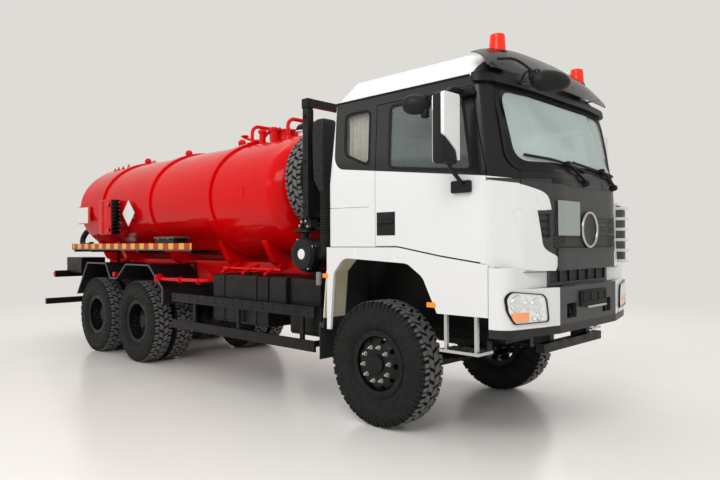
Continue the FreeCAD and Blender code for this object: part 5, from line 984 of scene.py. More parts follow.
class TANKER_OT_seals(bpy.types.Operator):
    """Rubber round the windscreen and side windows, and the printed border of the screen"""
    bl_idname = "tanker.seals"
    bl_label = "Seals"

    def execute(self, context):
        path = front_skin(*front_loop(SCREEN).T)
        piece("screen_seal", swept(path, lip(0.075, 0.012), closed=True), "rubber", "cab", angle=40)
        border = front_loop(BORDER) - SCREEN_MIDDLE
        rings = [front_skin(*(border * scale + SCREEN_MIDDLE).T, -0.004)
                 for scale in np.linspace(BORDER_OUTER, BORDER_INNER, BORDER_RINGS)]
        piece("screen_border", lattice(np.stack(rings), wrap_columns=True), "gloss", "cab")
        for side, sign in SIDES:
            for name, body, corners in SIDE_WINDOWS:
                path = flank(*spaced(soft_outline(corners, 0.06, 6), 0.03).T, 0.0, sign)
                piece("%s_window_seal_%s" % (name, side), swept(path, lip(0.028, 0.006), closed=True), "rubber",
                      body + side if name == "door" else body, angle=40)
        return {"FINISHED"}


# Front of the cab


def mesh_screen(skin, y_low, y_high, z_low, z_high, pitch, lift, width):
    """Expanded metal: two families of slanting strips between two heights, cut at the sides."""
    rise = z_high - z_low
    wires = []
    for lean in (-1.0, 1.0):
        for start in np.arange(y_low - rise, y_high, pitch):
            first, last = max(start, y_low), min(start + rise, y_high)
            if last - first < 0.01:
                continue
            y = np.linspace(first, last, 4)
            z = z_low + (y - start) if lean > 0 else z_high - (y - start)
            path = skin(y, z, lift)
            wires.append(swept(path, [(-width, 0.0), (width, 0.0), (width, 0.003), (-width, 0.003)]))
    return merged(wires)


def dished(loop, skin, profile):
    """Rings of one outline at shrinking scales: each (scale, lift) of the profile is a loop on the skin."""
    centre = loop.mean(0)
    return np.array([skin(*(centre + (loop - centre) * scale).T, lift) for scale, lift in profile])


def cheek_skin(sign):
    """White corner panel: rows of points from its curved inner edge to the door."""
    heights = np.array([1.543, 1.575, 1.607, 1.647, 1.667, 1.683, 1.698, 1.715, 1.733, 1.75, 1.767, 1.914, 2.063, 2.07,
                        2.1, 2.142, 2.165, 2.186, 2.202, 2.215, 2.23, 2.242, 2.255, 2.266, 2.276, 2.285, 2.294, 2.304])
    inner = np.array([0.627, 0.606, 0.597, 0.596, 0.607, 0.638, 0.68, 0.716, 0.742, 0.757, 0.768, 0.789, 0.811, 0.667,
                      0.672, 0.683, 0.692, 0.704, 0.72, 0.739, 0.768, 0.804, 0.848, 0.889, 0.935, 0.992, 1.08, 1.2])
    share = np.linspace(0, 1, 26)
    y = inner[:, None] * (1 - share) + 1.236 * share
    foot = np.interp(y, [0.62, 0.862, 1.063, 1.197, 1.236], [1.543, 1.55, 1.568, 1.584, 1.604])
    z = np.maximum(heights[:, None], foot + (heights[:, None] - heights[0]) * 0.5)
    return plated(front_skin(sign * y, z, 0.0045), front_skin(sign * y, z, 0.0))


class TANKER_OT_front_trim(bpy.types.Operator):
    """White corner panels, grey apron, mesh behind the grille, bare ring, blank plate, vents and seams of the front, a
    strip of painted shade under the corner panels and a dark block of painted shade behind the deflector slats
    """
    bl_idname = "tanker.front_trim"
    bl_label = "Front trim"

    def execute(self, context):
        for side, sign in SIDES:
            piece("corner_panel_" + side, cheek_skin(sign), "white", "cab", angle=40)
        apron = [front_patch(-0.6, 0.6, 1.543, 1.722, 0.003, 0.01, (30, 8)),
                 front_patch(-0.6, 0.6, 1.722, 1.738, 0.008, 0.012, (30, 4))]
        piece("front_apron", apron, "trim", "cab", bevel=0.002)
        backs = [front_patch(-0.642, 0.642, 1.744, 1.856, -0.021, 0.001, (30, 4)),
                 front_patch(0.186, 0.628, 1.878, 2.03, 0.0006, 0.002, (12, 4)),
                 front_patch(-0.628, -0.186, 1.878, 2.03, 0.0006, 0.002, (12, 4)),
                 front_patch(0.33, 0.65, 2.3, 2.35, 0.001, 0.003, (8, 3)),
                 front_patch(-0.65, -0.33, 2.3, 2.35, 0.001, 0.003, (8, 3))]
        piece("grille_back", backs, "gloss", "cab")
        screens = [mesh_screen(front_skin, -0.642, 0.642, 1.744, 1.856, 0.032, 0.0, 0.006),
                   mesh_screen(front_skin, 0.186, 0.628, 1.88, 2.028, 0.026, 0.004, 0.005),
                   mesh_screen(front_skin, -0.628, -0.186, 1.88, 2.028, 0.026, 0.004, 0.005)]
        piece("grille_mesh", screens, "grey_black", "cab")
        rails = [swept(front_skin(np.linspace(0.18, 0.635, 20) * sign, np.full(20, z)), lip(0.016, 0.008))
                 for sign in (-1.0, 1.0) for z in (1.874, 1.951, 2.034)]
        piece("grille_rails", rails, "trim", "cab")
        ring_place = front_skin(0.0, 1.906, 0.02)
        ring = revolved([(0.146, 0.0), (0.15, 0.011), (0.158, 0.015), (0.167, 0.011), (0.171, 0.0), (0.167, -0.012),
                         (0.15, -0.012)], ring_place, AHEAD, steps=96, closed=True)
        piece("front_ring", ring, "bright", "cab", angle=50)
        disc = revolved([(0.0, -0.018), (0.148, -0.018), (0.15, -0.002), (0.13, -0.005), (0.0, -0.002)], ring_place,
                        AHEAD, steps=96)
        piece("front_ring_disc", disc, "gloss", "cab", angle=50)
        plate = front_patch(-0.603, -0.206, 1.848, 2.155, 0.016, 0.006, (8, 5))
        piece("front_plate", plate, "front_plate", "cab", bevel=0.002)
        piece("front_plate_back", front_patch(-0.59, -0.218, 1.86, 2.145, 0.001, 0.016, (8, 5)), "gloss", "cab")
        y = np.linspace(-1.2, 1.2, 80)
        height = np.interp(np.abs(y), [0, 0.375, 0.964, 1.236], [2.288, 2.293, 2.325, 2.352])
        seams = [swept(front_skin(y, height), lip(0.007, 0.0016))]
        for sign in (-1.0, 1.0):
            # Painted shade: the wider dark strip along the lower edge of the corner panels stands for the shadow in the
            # gap above the bumper
            seams.append(swept(front_skin(np.linspace(0.6, 1.215, 24) * sign, np.full(24, 1.536)), lip(0.014, 0.004)))
            z = np.linspace(2.19, 2.41, 12)
            seams.append(swept(front_skin(np.full(12, 0.953 * sign), z), lip(0.006, 0.0052)))
        piece("front_seams", seams, "gloss", "cab")
        wings = [swept(front_skin(np.linspace(0.685, 0.785, 8) * sign, np.full(8, z), -0.012), lip(0.014, 0.01))
                 for sign in (-1.0, 1.0) for z in (1.86, 1.915, 1.97)]
        piece("wing_blades", wings, "moulded", "cab")
        column = [block((4.8, 1.236, 1.53), (4.86, 1.25, 2.22), 0.006, 3)]
        for z in (1.585, 1.7, 1.815, 1.93, 2.045, 2.16):
            column.append(block((4.83, 1.225, z - 0.018), (4.955, 1.302, z + 0.018), 0.008, 2))
        piece("corner_deflector", column, "white", "cab")
        # Painted shade: a dark block behind the slats stands for the shadow in the slots between them
        shade = tapered([(1.555, 4.84, 4.88, 1.23, 1.27), (1.575, 4.835, 4.925, 1.228, 1.288),
                         (2.13, 4.835, 4.925, 1.228, 1.288), (2.19, 4.84, 4.88, 1.23, 1.27)], 0.015)
        piece("corner_deflector_slot_shade", shade, "grey_black", "cab", angle=40)
        return {"FINISHED"}


class TANKER_OT_bumper_trim(bpy.types.Operator):
    """Mesh of the bumper's vents with a dark plate of painted shade on their floor, towing pockets and the empty plate
    holder
    """
    bl_idname = "tanker.bumper_trim"
    bl_label = "Bumper trim"

    def execute(self, context):
        # The first block is a near black plate of painted shade on the vent floor, for the shadow behind the mesh; the
        # other two are the towing pockets
        dark = [block((4.9605, -0.583, 1.434), (4.964, 0.583, 1.53), 0.001),
                block((4.985, 0.27, 1.11), (5.04, 0.48, 1.26), 0.004),
                block((4.985, -0.48, 1.11), (5.04, -0.27, 1.26), 0.004)]
        piece("bumper_vent_shade_and_pockets", dark, "gloss", "chassis")

        def floor(y, z, lift):
            """Flat set-back face of the bumper."""
            return np.stack(np.broadcast_arrays(4.9645 + lift, y, z), -1)

        piece("bumper_mesh", mesh_screen(floor, -0.58, 0.58, 1.435, 1.529, 0.02, 0.0, 0.0022), "grey_black",
              "chassis")
        hook = tube([(5.0, 0.375, 1.24), (5.06, 0.375, 1.2), (5.06, 0.375, 1.16), (5.0, 0.375, 1.13)], 0.016, 0.03)
        piece("tow_loops", both(hook), "black", "chassis")
        holder = [block((5.084, -0.225, 1.205), (5.108, 0.33, 1.35), 0.008, 3),
                  block((5.106, -0.19, 1.325), (5.114, 0.3, 1.34), 0.003),
                  block((5.106, -0.19, 1.24), (5.114, 0.3, 1.252), 0.003)]
        holder += [block((5.104, y - 0.01, 1.24), (5.114, y + 0.01, 1.335), 0.003) for y in (-0.18, -0.02, 0.14, 0.29)]
        piece("plate_holder", holder, "rubber", "chassis")
        piece("plate_bar", block((5.1, -0.1, 1.186), (5.118, 0.305, 1.206), 0.004), "bright", "chassis")
        return {"FINISHED"}


class TANKER_OT_wipers(bpy.types.Operator):
    """Two wipers parked on the windscreen"""
    bl_idname = "tanker.wipers"
    bl_label = "Wipers"

    def execute(self, context):
        parts = []
        for pivot, middle, start, end in (((-0.073, 2.335), (-0.4, 2.49), (-0.893, 2.536), (-0.02, 2.448)),
                                          ((0.6, 2.335), (0.32, 2.48), (-0.24, 2.515), (0.64, 2.448))):
            across, along = np.linspace(start, end, 24).T
            blade = front_skin(across, along, 0.016)
            parts.append(swept(blade, [(-0.009, -0.009), (-0.005, 0.012), (0.005, 0.012), (0.009, -0.009)]))
            edge = [(-0.002, -0.006), (-0.002, 0.006), (0.002, 0.006), (0.002, -0.006)]
            parts.append(swept(front_skin(across, along, 0.005), edge))
            foot, joint = front_skin(*pivot, 0.03), front_skin(*middle, 0.04)
            bar = [(-0.014, -0.005), (-0.014, 0.006), (0.014, 0.006), (0.014, -0.005)]
            parts.append(swept(np.linspace(foot, joint, 6), bar))
            parts.append(tube([joint, front_skin(middle[0] - 0.04, middle[1] + 0.005, 0.03)], 0.01, 0, 10))
            parts.append(block(joint - 0.02, joint + 0.02, 0.008))
            parts.append(revolved([(0.0, 0.02), (0.022, 0.018), (0.03, 0.004), (0.03, -0.04)], foot, (1, 0, 0.3), 24))
        piece("wipers", parts, "rubber", "cab")
        return {"FINISHED"}


# Lamps


LAMP_LOOP = [(1.185, 1.39), (0.815, 1.352), (0.775, 1.31), (0.748, 1.114), (1.158, 1.115), (1.211, 1.22),
             (1.221, 1.345)]
LAMP_BEZEL = [(1.0, 0.0), (1.0, 0.01), (0.985, 0.016), (0.945, 0.016), (0.93, 0.011), (0.925, 0.0)]
LAMP_FACE = [(0.0, 0.0), (0.93, 0.0), (0.93, 0.004), (0.9, 0.003), (0.6, 0.003), (0.0, 0.003)]
LAMP_COVER = [(0.0, 0.0245), (0.6, 0.0235), (0.93, 0.0125), (0.93, 0.0145), (0.6, 0.0255), (0.0, 0.0265)]
# Place (y, z) and radius of each bowl, and its profile in shares of the radius
LAMP_BOWLS = ((1.115, 1.285, 0.066), (0.995, 1.272, 0.04), (0.9, 1.262, 0.058), (0.86, 1.165, 0.034),
              (0.94, 1.16, 0.02))
BOWL = ((0.2, 0.009), (0.3, 0.007), (0.7, 0.002), (0.9, 0.006), (1.0, 0.011), (1.06, 0.008), (1.1, -0.002))


def bumper_patch(sign, y_range, z_range, low, high):
    """Plate between two lifts over the bumper's front."""
    y, z = np.meshgrid(np.linspace(*y_range, 8) * sign, np.linspace(*z_range, 3))
    return plated(bumper_skin(y, z, high), bumper_skin(y, z, low))


class TANKER_OT_headlamps(bpy.types.Operator):
    """Slanted headlamps with bezel, bright bowls, turn lens and clear cover, and the side markers"""
    bl_idname = "tanker.headlamps"
    bl_label = "Headlamps"

    def execute(self, context):
        faces, bezels, bowls, lenses, covers, fills = [], [], [], [], [], []
        for sign in (-1.0, 1.0):
            loop = spaced(soft_outline(LAMP_LOOP, 0.035, 6), 0.012) * np.array([sign, 1.0])
            for shells, profile in ((bezels, LAMP_BEZEL), (faces, LAMP_FACE), (covers, LAMP_COVER)):
                shells.append(lattice(dished(loop, bumper_skin, profile), wrap_rows=True, wrap_columns=True))
            fills.append(bumper_patch(sign, (0.77, 1.11), (1.062, 1.13), 0.0, 0.0025))
            for y, z, radius in LAMP_BOWLS:
                place = bumper_skin(sign * y, z, 0.003)
                ahead = bumper_skin(sign * y, z, 0.103) - place
                bowls.append(revolved([(radius * share, height) for share, height in BOWL], place, ahead, 40))
            lenses.append(bumper_patch(sign, (0.985, 1.172), (1.137, 1.208), 0.003, 0.012))
        piece("lamp_faces", faces, "reflector", "chassis", replaces="headlights", angle=40)
        piece("lamp_bezels", bezels, "gloss", "chassis", angle=40)
        piece("lamp_bowls", bowls, "mirror", "chassis", angle=50)
        piece("lamp_covers", covers, "clear", "chassis", angle=40)
        piece("lamp_sills", fills, "bumper", "chassis")
        piece("turn_lenses", lenses, "amber_lens", "chassis", bevel=0.002)
        markers = [block((FRONT_AXLE - 0.715, 1.243, 1.43), (FRONT_AXLE - 0.645, 1.258, 1.475), 0.004),
                   block((FRONT_AXLE + 0.655, 1.243, 1.215), (FRONT_AXLE + 0.745, 1.258, 1.26), 0.004)]
        piece("side_markers", [both(marker) for marker in markers], "amber_lens", "chassis")
        return {"FINISHED"}


MIRROR_COVER = [(1.613, 3.015), (1.396, 3.015), (1.396, 2.47), (1.412, 2.47), (1.44, 2.548), (1.613, 2.67)]
# Radius, bend and corners of each arm of the left mirror
MIRROR_ARMS = ((0.022, 0.05, (4.555, 1.25, 3.068), (4.555, 1.44, 3.068), (4.555, 1.5, 3.02)),
               (0.014, 0.08, (4.555, 1.44, 3.068), (4.35, 1.42, 3.06), (4.1, 1.39, 3.02)),
               (0.018, 0.05, (4.555, 1.265, 2.27), (4.555, 1.46, 2.4), (4.555, 1.5, 2.47)))


class TANKER_OT_door_trim(bpy.types.Operator):
    """Door handles in their recesses, mirrors, the drip strips along the roof and the seams behind the doors"""
    bl_idname = "tanker.door_trim"
    bl_label = "Door trim"

    def execute(self, context):
        for side, sign in SIDES:
            body = "door_" + side
            cup = block((3.53, sign * 1.236, 1.86), (3.765, sign * 1.248, 2.085), 0.012, 3)
            piece("handle_cup_" + side, cup, "moulded", body)
            bar = tube([(3.55, sign * 1.25, 1.98), (3.57, sign * 1.272, 1.985), (3.72, sign * 1.272, 1.99),
                        (3.745, sign * 1.25, 1.99)], 0.013, 0.02, 12)
            piece("handle_bar_" + side, bar, "gloss", body)
            housing = block((4.473, sign * 1.393, 2.43), (4.592, sign * 1.614, 3.02), 0.04, 6)
            cover = slab(soft_outline(np.array(MIRROR_COVER) * [sign, 1.0], 0.02, 5), 0, 4.57, 4.606)
            glass = block((4.468, sign * 1.412, 2.455), (4.476, sign * 1.595, 3.0), 0.004, 2)
            wide = [egg((4.185, sign * 1.44, 2.992), (0.8, -sign * 0.6, 0.0), (0.128, 0.062, 0.088)),
                    block((4.21, sign * 1.37, 2.87), (4.28, sign * 1.43, 2.95), 0.02, 4)]
            arms = [tube([(x, sign * y, z) for x, y, z in path], radius, bend) for radius, bend, *path in MIRROR_ARMS]
            arms += [block((4.425, sign * 1.246, 2.212), (4.625, sign * 1.29, 2.318), 0.016, 4),
                     block((4.46, sign * 1.235, 3.03), (4.66, sign * 1.3, 3.1), 0.02, 4)]
            piece("mirror_cover_" + side, cover, "white", body, bevel=0.006)
            piece("mirror_glass_" + side, glass, "mirror", body)
            piece("mirror_black_" + side, [housing] + wide + arms, "moulded", body, replaces="mirror_" + side)
        x = np.linspace(FRONT_AXLE - 0.57, FRONT_AXLE + 1.09, 30)
        path = np.stack([x, 1.207 + 0 * x, DRIP + 0 * x], -1)
        piece("drip_strips", both(swept(path, lip(0.03, 0.012))), "gloss", "cab")
        x = np.linspace(2.86, 3.425, 12)
        line = swept(flank(x, 2.148 - 0.01 * (x - 2.86), -0.003), lip(0.007, 0.0032))
        piece("side_seams", both(line), "gloss", "cab")
        return {"FINISHED"}


# Behind the cab


spare_low, spare_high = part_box("spare_wheel")
SPARE = tuple((low + high) / 2 for low, high in zip(spare_low, spare_high))


class TANKER_OT_spare(bpy.types.Operator):
    """Treaded spare tyre with its dished rim, standing across the truck"""
    bl_idname = "tanker.spare"
    bl_label = "Spare wheel"

    def execute(self, context):
        points, faces = truck_tyre()
        mesh = points[:, [1, 0, 2]] + np.array(SPARE), faces
        made = piece("treaded_spare_tyre", mesh, "tyre", "chassis", replaces="spare_wheel", angle=28)
        mark_rings(made, SPARE, (1, 2))
        profile = [(0.327, 0.118), (0.322, 0.124), (0.31, 0.118), (0.303, 0.1), (0.296, 0.04), (0.284, 0.02),
                   (0.27, -0.04), (0.22, -0.06), (0.2, -0.07), (0.115, -0.072), (0.112, -0.079), (0.115, -0.086),
                   (0.2, -0.086), (0.23, -0.076), (0.28, -0.056), (0.29, -0.07), (0.305, -0.11), (0.318, -0.124),
                   (0.327, -0.118), (0.316, -0.106), (0.306, -0.05), (0.306, 0.05), (0.316, 0.106)]
        rim = revolved(profile, SPARE, AHEAD, 96, closed=True)
        seat = revolved([(0.019, -0.002), (0.019, 0.004), (0.0135, 0.004), (0.0135, -0.002)],
                        ORIGIN, UP, 16, closed=True)
        places = np.column_stack([np.full(NUTS, SPARE[0] - 0.071), ring_of(NUTS, 0.1675) + SPARE[1:]])
        seats = set_at(seat, places, AHEAD)
        piece("spare_rim", [rim, seats], "black", "chassis", angle=40)
        return {"FINISHED"}


class TANKER_OT_intake(bpy.types.Operator):
    """Tall pierced air intake, its duct, and the filter canister with a pale disc in its lid"""
    bl_idname = "tanker.intake"
    bl_label = "Air intake"

    def execute(self, context):
        levels = [(2.35, 2.575, 2.655, -1.125, -0.955), (2.37, 2.565, 2.66, -1.135, -0.945),
                  (2.47, 2.515, 2.66, -1.148, -0.935), (2.6, 2.5, 2.66, -1.15, -0.93), (2.95, 2.49, 2.66, -1.15, -0.93),
                  (3.06, 2.495, 2.66, -1.15, -0.93), (3.11, 2.51, 2.658, -1.145, -0.935),
                  (3.135, 2.54, 2.65, -1.13, -0.95), (3.14, 2.56, 2.64, -1.11, -0.97)]
        piece("intake_housing", tapered(levels, 0.025), "pierced", "chassis", replaces="air_intake", angle=50)
        duct = tube([(2.605, -1.04, 2.4), (2.605, -1.04, 1.86), (2.56, -1.0, 1.68), (2.4, -0.98, 1.67),
                     (2.33, -0.97, 1.67)], 0.07, 0.12, 24)
        z = np.linspace(1.9, 2.32, 15)
        rings = [revolved([(0.071, -0.006), (0.077, 0.0), (0.071, 0.006)], (2.605, -1.04, height), UP, 24)
                 for height in z]
        piece("intake_duct", [duct] + rings, "rubber", "chassis", angle=50)
        centre = (2.285, -1.0, 1.67)
        shell = [(0.0, -0.145), (0.15, -0.145), (0.172, -0.13), (0.176, -0.09), (0.182, -0.085), (0.182, -0.06),
                 (0.176, -0.055), (0.176, 0.075), (0.186, 0.08), (0.186, 0.1), (0.18, 0.106), (0.176, 0.12),
                 (0.166, 0.135), (0.15, 0.141), (0.075, 0.138), (0.066, 0.132), (0.0, 0.132)]
        piece("filter_canister", revolved(shell, centre, RIGHT, 64), "moulded", "chassis", angle=35)
        disc = revolved([(0.0, 0.133), (0.056, 0.134), (0.062, 0.13), (0.062, 0.12)], centre, RIGHT, 48)
        piece("canister_disc", disc, "plate", "chassis", angle=35)
        clips = [block((x - 0.012, -1.115, z - 0.012), (x + 0.012, -1.06, z + 0.012), 0.004)
                 for x, z in ring_of(4, 0.18, 0.5) + [centre[0], centre[2]]]
        piece("canister_clips", clips, "bright", "chassis")
        carrier = [block((2.235, -0.98, 1.44), (2.335, -0.4, 1.49), 0.008),
                   block((2.235, -0.455, 1.262), (2.335, -0.4, 1.49), 0.008),
                   block((2.245, -1.1, 1.465), (2.325, -0.9, 1.505), 0.008)]
        piece("canister_bracket", carrier, "black", "chassis")
        dome = revolved([(0.0, 0.05), (0.04, 0.048), (0.1, 0.03), (0.128, 0.006), (0.13, -0.012), (0.115, -0.02),
                         (0.05, -0.024), (0.045, -0.09), (0.0, -0.09)], (2.2, -0.99, 1.93), UP, 48)
        pipes = [tube([(2.2, -0.99, 1.86), (2.2, -0.99, 1.78), (2.22, -0.9, 1.7)], 0.045, 0.06, 16),
                 tube([(2.12, -0.9, 1.99), (2.16, -1.03, 2.02), (2.34, -1.04, 2.02), (2.38, -0.9, 1.9)],
                      0.016, 0.05, 10), tube([(2.24, -1.02, 1.98), (2.24, -1.02, 2.09)], 0.02, 0, 12),
                 block((2.28, -1.05, 1.95), (2.35, -0.95, 2.08), 0.012)]
        piece("intake_dome", [dome] + pipes, "moulded", "chassis", angle=45)
        taps = [revolved([(0.0, 0.03), (0.014, 0.028), (0.016, 0.0), (0.016, -0.01)], place, RIGHT, 16)
                for place in ((2.3, -1.052, 2.04), (2.17, -1.03, 1.99), (2.2, -1.03, 2.035), (2.33, -1.052, 1.98))]
        piece("intake_taps", taps, "bright", "chassis", angle=40)
        return {"FINISHED"}


class TANKER_OT_rack_trim(bpy.types.Operator):
    """Caps, edge strips and clamps of the spare wheel rack, and the lamp on its foot"""
    bl_idname = "tanker.rack_trim"
    bl_label = "Rack trim"

    def execute(self, context):
        parts = [block((2.295, -1.13, 3.29), (2.4, -1.03, 3.4), 0.01),
                 block((2.295, 1.03, 3.29), (2.4, 1.13, 3.4), 0.01)]
        for sign in (-1.0, 1.0):
            for edge in (1.042, 1.118):
                parts.append(block((2.384, sign * edge - 0.004, 2.1), (2.396, sign * edge + 0.004, 3.28), 0.003))
            for z in (2.2, 2.7, 3.2):
                parts.append(set_at(hexagon(0.024, 0.014), (2.345, sign * 1.12, z), (0, sign, 0)))
        parts.append(block((2.298, SPARE[1] - 0.09, SPARE[2] - 0.09), (2.318, SPARE[1] + 0.09, SPARE[2] + 0.09), 0.006))
        piece("rack_trim", parts, "black", "chassis")
        lamp = revolved([(0.0, 0.075), (0.024, 0.072), (0.03, 0.06), (0.03, -0.06), (0.024, -0.068), (0.0, -0.07)],
                        (2.64, -1.19, 1.41), UP, 24)
        piece("side_lamp", lamp, "grey", "chassis", angle=40)
        stay = tube([(2.64, -1.19, 1.4), (2.64, -1.1, 1.36), (2.56, -1.04, 1.34)], 0.012, 0.03, 10)
        piece("side_lamp_stay", stay, "black", "chassis")
        return {"FINISHED"}


# Tank


class TANKER_OT_tank_trim(bpy.types.Operator):
    """Valves, vents, lifting eyes, braces and sockets on the tank"""
    bl_idname = "tanker.tank_trim"
    bl_label = "Tank trim"

    def execute(self, context):
        parts = [tube([(0.46, -0.3, 3.245), (0.30, -0.3, 3.262), (0.12, -0.31, 3.318), (0.06, -0.32, 3.347)],
                      0.02, 0.05), block((0.05, -0.36, 3.335), (0.15, -0.28, 3.362), 0.01),
                 tube([(0.44, -0.3, 3.215), (0.72, -0.3, 3.4)], 0.018)]
        for x in (0.255, 1.055):
            parts.append(revolved([(0.0, 0.03), (0.08, 0.03), (0.085, 0.02), (0.085, -0.02)], (x, -0.3, 3.205), UP, 24))
        for x in (0.52, 0.78):
            parts.append(revolved([(0.0, 0.14), (0.05, 0.138), (0.062, 0.125), (0.062, 0.09), (0.045, 0.085),
                                   (0.045, -0.06)], (x, -0.32, 3.25), UP, 24))
        ring = ring_of(12, 0.248)
        lugs = set_at(hexagon(0.03, 0.016), np.column_stack([0.655 + ring[:, 0], ring[:, 1], np.full(12, 3.386)]))
        for x, y, z in ((-4.02, -0.5, 3.06), (-3.0, -0.1, 3.232), (1.62, -0.2, 3.225)):
            parts.append(tube([(x - 0.06, y, z - 0.03), (x - 0.05, y, z + 0.07), (x + 0.05, y, z + 0.07),
                               (x + 0.06, y, z - 0.03)], 0.012, 0.05, 12))
        for x, y, z in ((-3.82, -0.45, 3.15), (-3.74, -0.42, 3.17), (-3.6, -0.4, 3.18), (-3.46, -0.36, 3.2)):
            parts.append(revolved([(0.0, 0.06), (0.014, 0.058), (0.014, 0.02), (0.03, 0.018), (0.03, -0.04)],
                                  (x, y, z), UP, 16))
        piece("tank_valves", parts, "red", "chassis", angle=40)
        piece("lid_bolts", lugs, "red", "lid")
        dome = revolved([(0.0, 0.115), (0.05, 0.108), (0.095, 0.08), (0.12, 0.035), (0.122, 0.0), (0.1, -0.01)],
                        (1.19, -0.12, 3.305), UP, 32)
        piece("dome_vent", dome, "gloss", "chassis", angle=50)
        seat = revolved([(0.09, -0.1), (0.09, -0.015), (0.125, -0.012), (0.125, 0.003), (0.0, 0.004)],
                        (1.19, -0.12, 3.305), UP, 32)
        piece("dome_vent_seat", seat, "white", "chassis", angle=50)
        loop = soft_outline(oblong((0.96, 2.375), (1.09, 2.515)), 0.03)
        path = np.column_stack([loop[:, 0], np.full(len(loop), -1.064), loop[:, 1]])
        socket = [swept(path, lip(0.016, 0.006), closed=True),
                  slab(soft_outline(oblong((0.97, 2.385), (1.08, 2.505)), 0.02), 1, -1.0635, -1.05)]
        piece("tank_socket", socket, "red", "chassis")
        return {"FINISHED"}


class TANKER_OT_control(bpy.types.Operator):
    """Control box: red ribbed case, black panel with hose connectors, and the blank plate beside it"""
    bl_idname = "tanker.control"
    bl_label = "Control box"

    def execute(self, context):
        low, high, front, back = 1.947, 2.518, -1.2365, -1.085
        case = [block((-2.693, front, low), (-2.277, back, high), 0.012, 3)]
        case.append(block((-2.69, -1.245, low + 0.01), (-2.55, front, high - 0.01), 0.008))
        case.append(block((-2.55, -1.243, low + 0.02), (-2.53, front, high - 0.02), 0.005))
        for z in (2.02, 2.44):
            case.append(block((-2.4, -1.249, z - 0.03), (-2.3, front, z + 0.03), 0.008))
        for z in (2.0, 2.4):
            case.append(block((-2.62, -1.1, z - 0.03), (-2.34, -0.87, z + 0.03), 0.01))
        piece("control_case", case, "red", "chassis", replaces="control_box")
        panel = [block((-2.279, -1.232, low + 0.006), (-2.262, -1.09, high - 0.006), 0.004)]
        for z in np.linspace(low + 0.06, high - 0.06, 9):
            panel.append(block((-2.262, -1.228, z - 0.018), (-2.235, -1.115, z + 0.018), 0.006))
        for z in (low + 0.075, high - 0.1):
            panel.append(block((-2.31, -1.262, z - 0.025), (-2.29, -1.235, z + 0.025), 0.005))
        piece("control_panel", panel, "gloss", "chassis")
        taps = [revolved([(0.0, 0.03), (0.009, 0.028), (0.012, 0.01), (0.016, 0.0), (0.016, -0.01)], (-2.25, -1.108, z),
                         AHEAD, 16) for z in np.linspace(low + 0.07, high - 0.05, 8)]
        piece("control_connectors", taps, "bright", "chassis", angle=40)
        piece("flank_plate", slab(soft_outline(oblong((-3.93, 2.165), (-3.5, 2.445)), 0.012), 1,
                                  -1.098, -1.09), "plate", "chassis", bevel=0.001)
        frame_plate = [slab(soft_outline(oblong((-3.94, 2.155), (-3.42, 2.455)), 0.012), 1, -1.09, -1.082),
                       block((-3.9, -1.085, 2.2), (-3.45, -1.0, 2.24), 0.006),
                       block((-3.9, -1.085, 2.37), (-3.45, -1.0, 2.41), 0.006)]
        piece("flank_plate_frame", frame_plate, "red", "chassis")
        piece("sign_stay", block((-2.0, -1.04, 2.26), (-1.83, -1.0, 2.3), 0.006), "red", "chassis")
        hose = tube([(-4.2, -0.62, 2.06), (-4.42, -0.72, 2.06), (-4.5, -0.78, 1.9), (-4.4, -0.82, 1.78),
                     (-4.1, -0.86, 1.76), (-3.8, -0.9, 1.79)], 0.05, 0.1, 24)
        piece("rear_hose", hose, "rubber", "chassis", angle=60)
        return {"FINISHED"}


# Trays, guards and frame


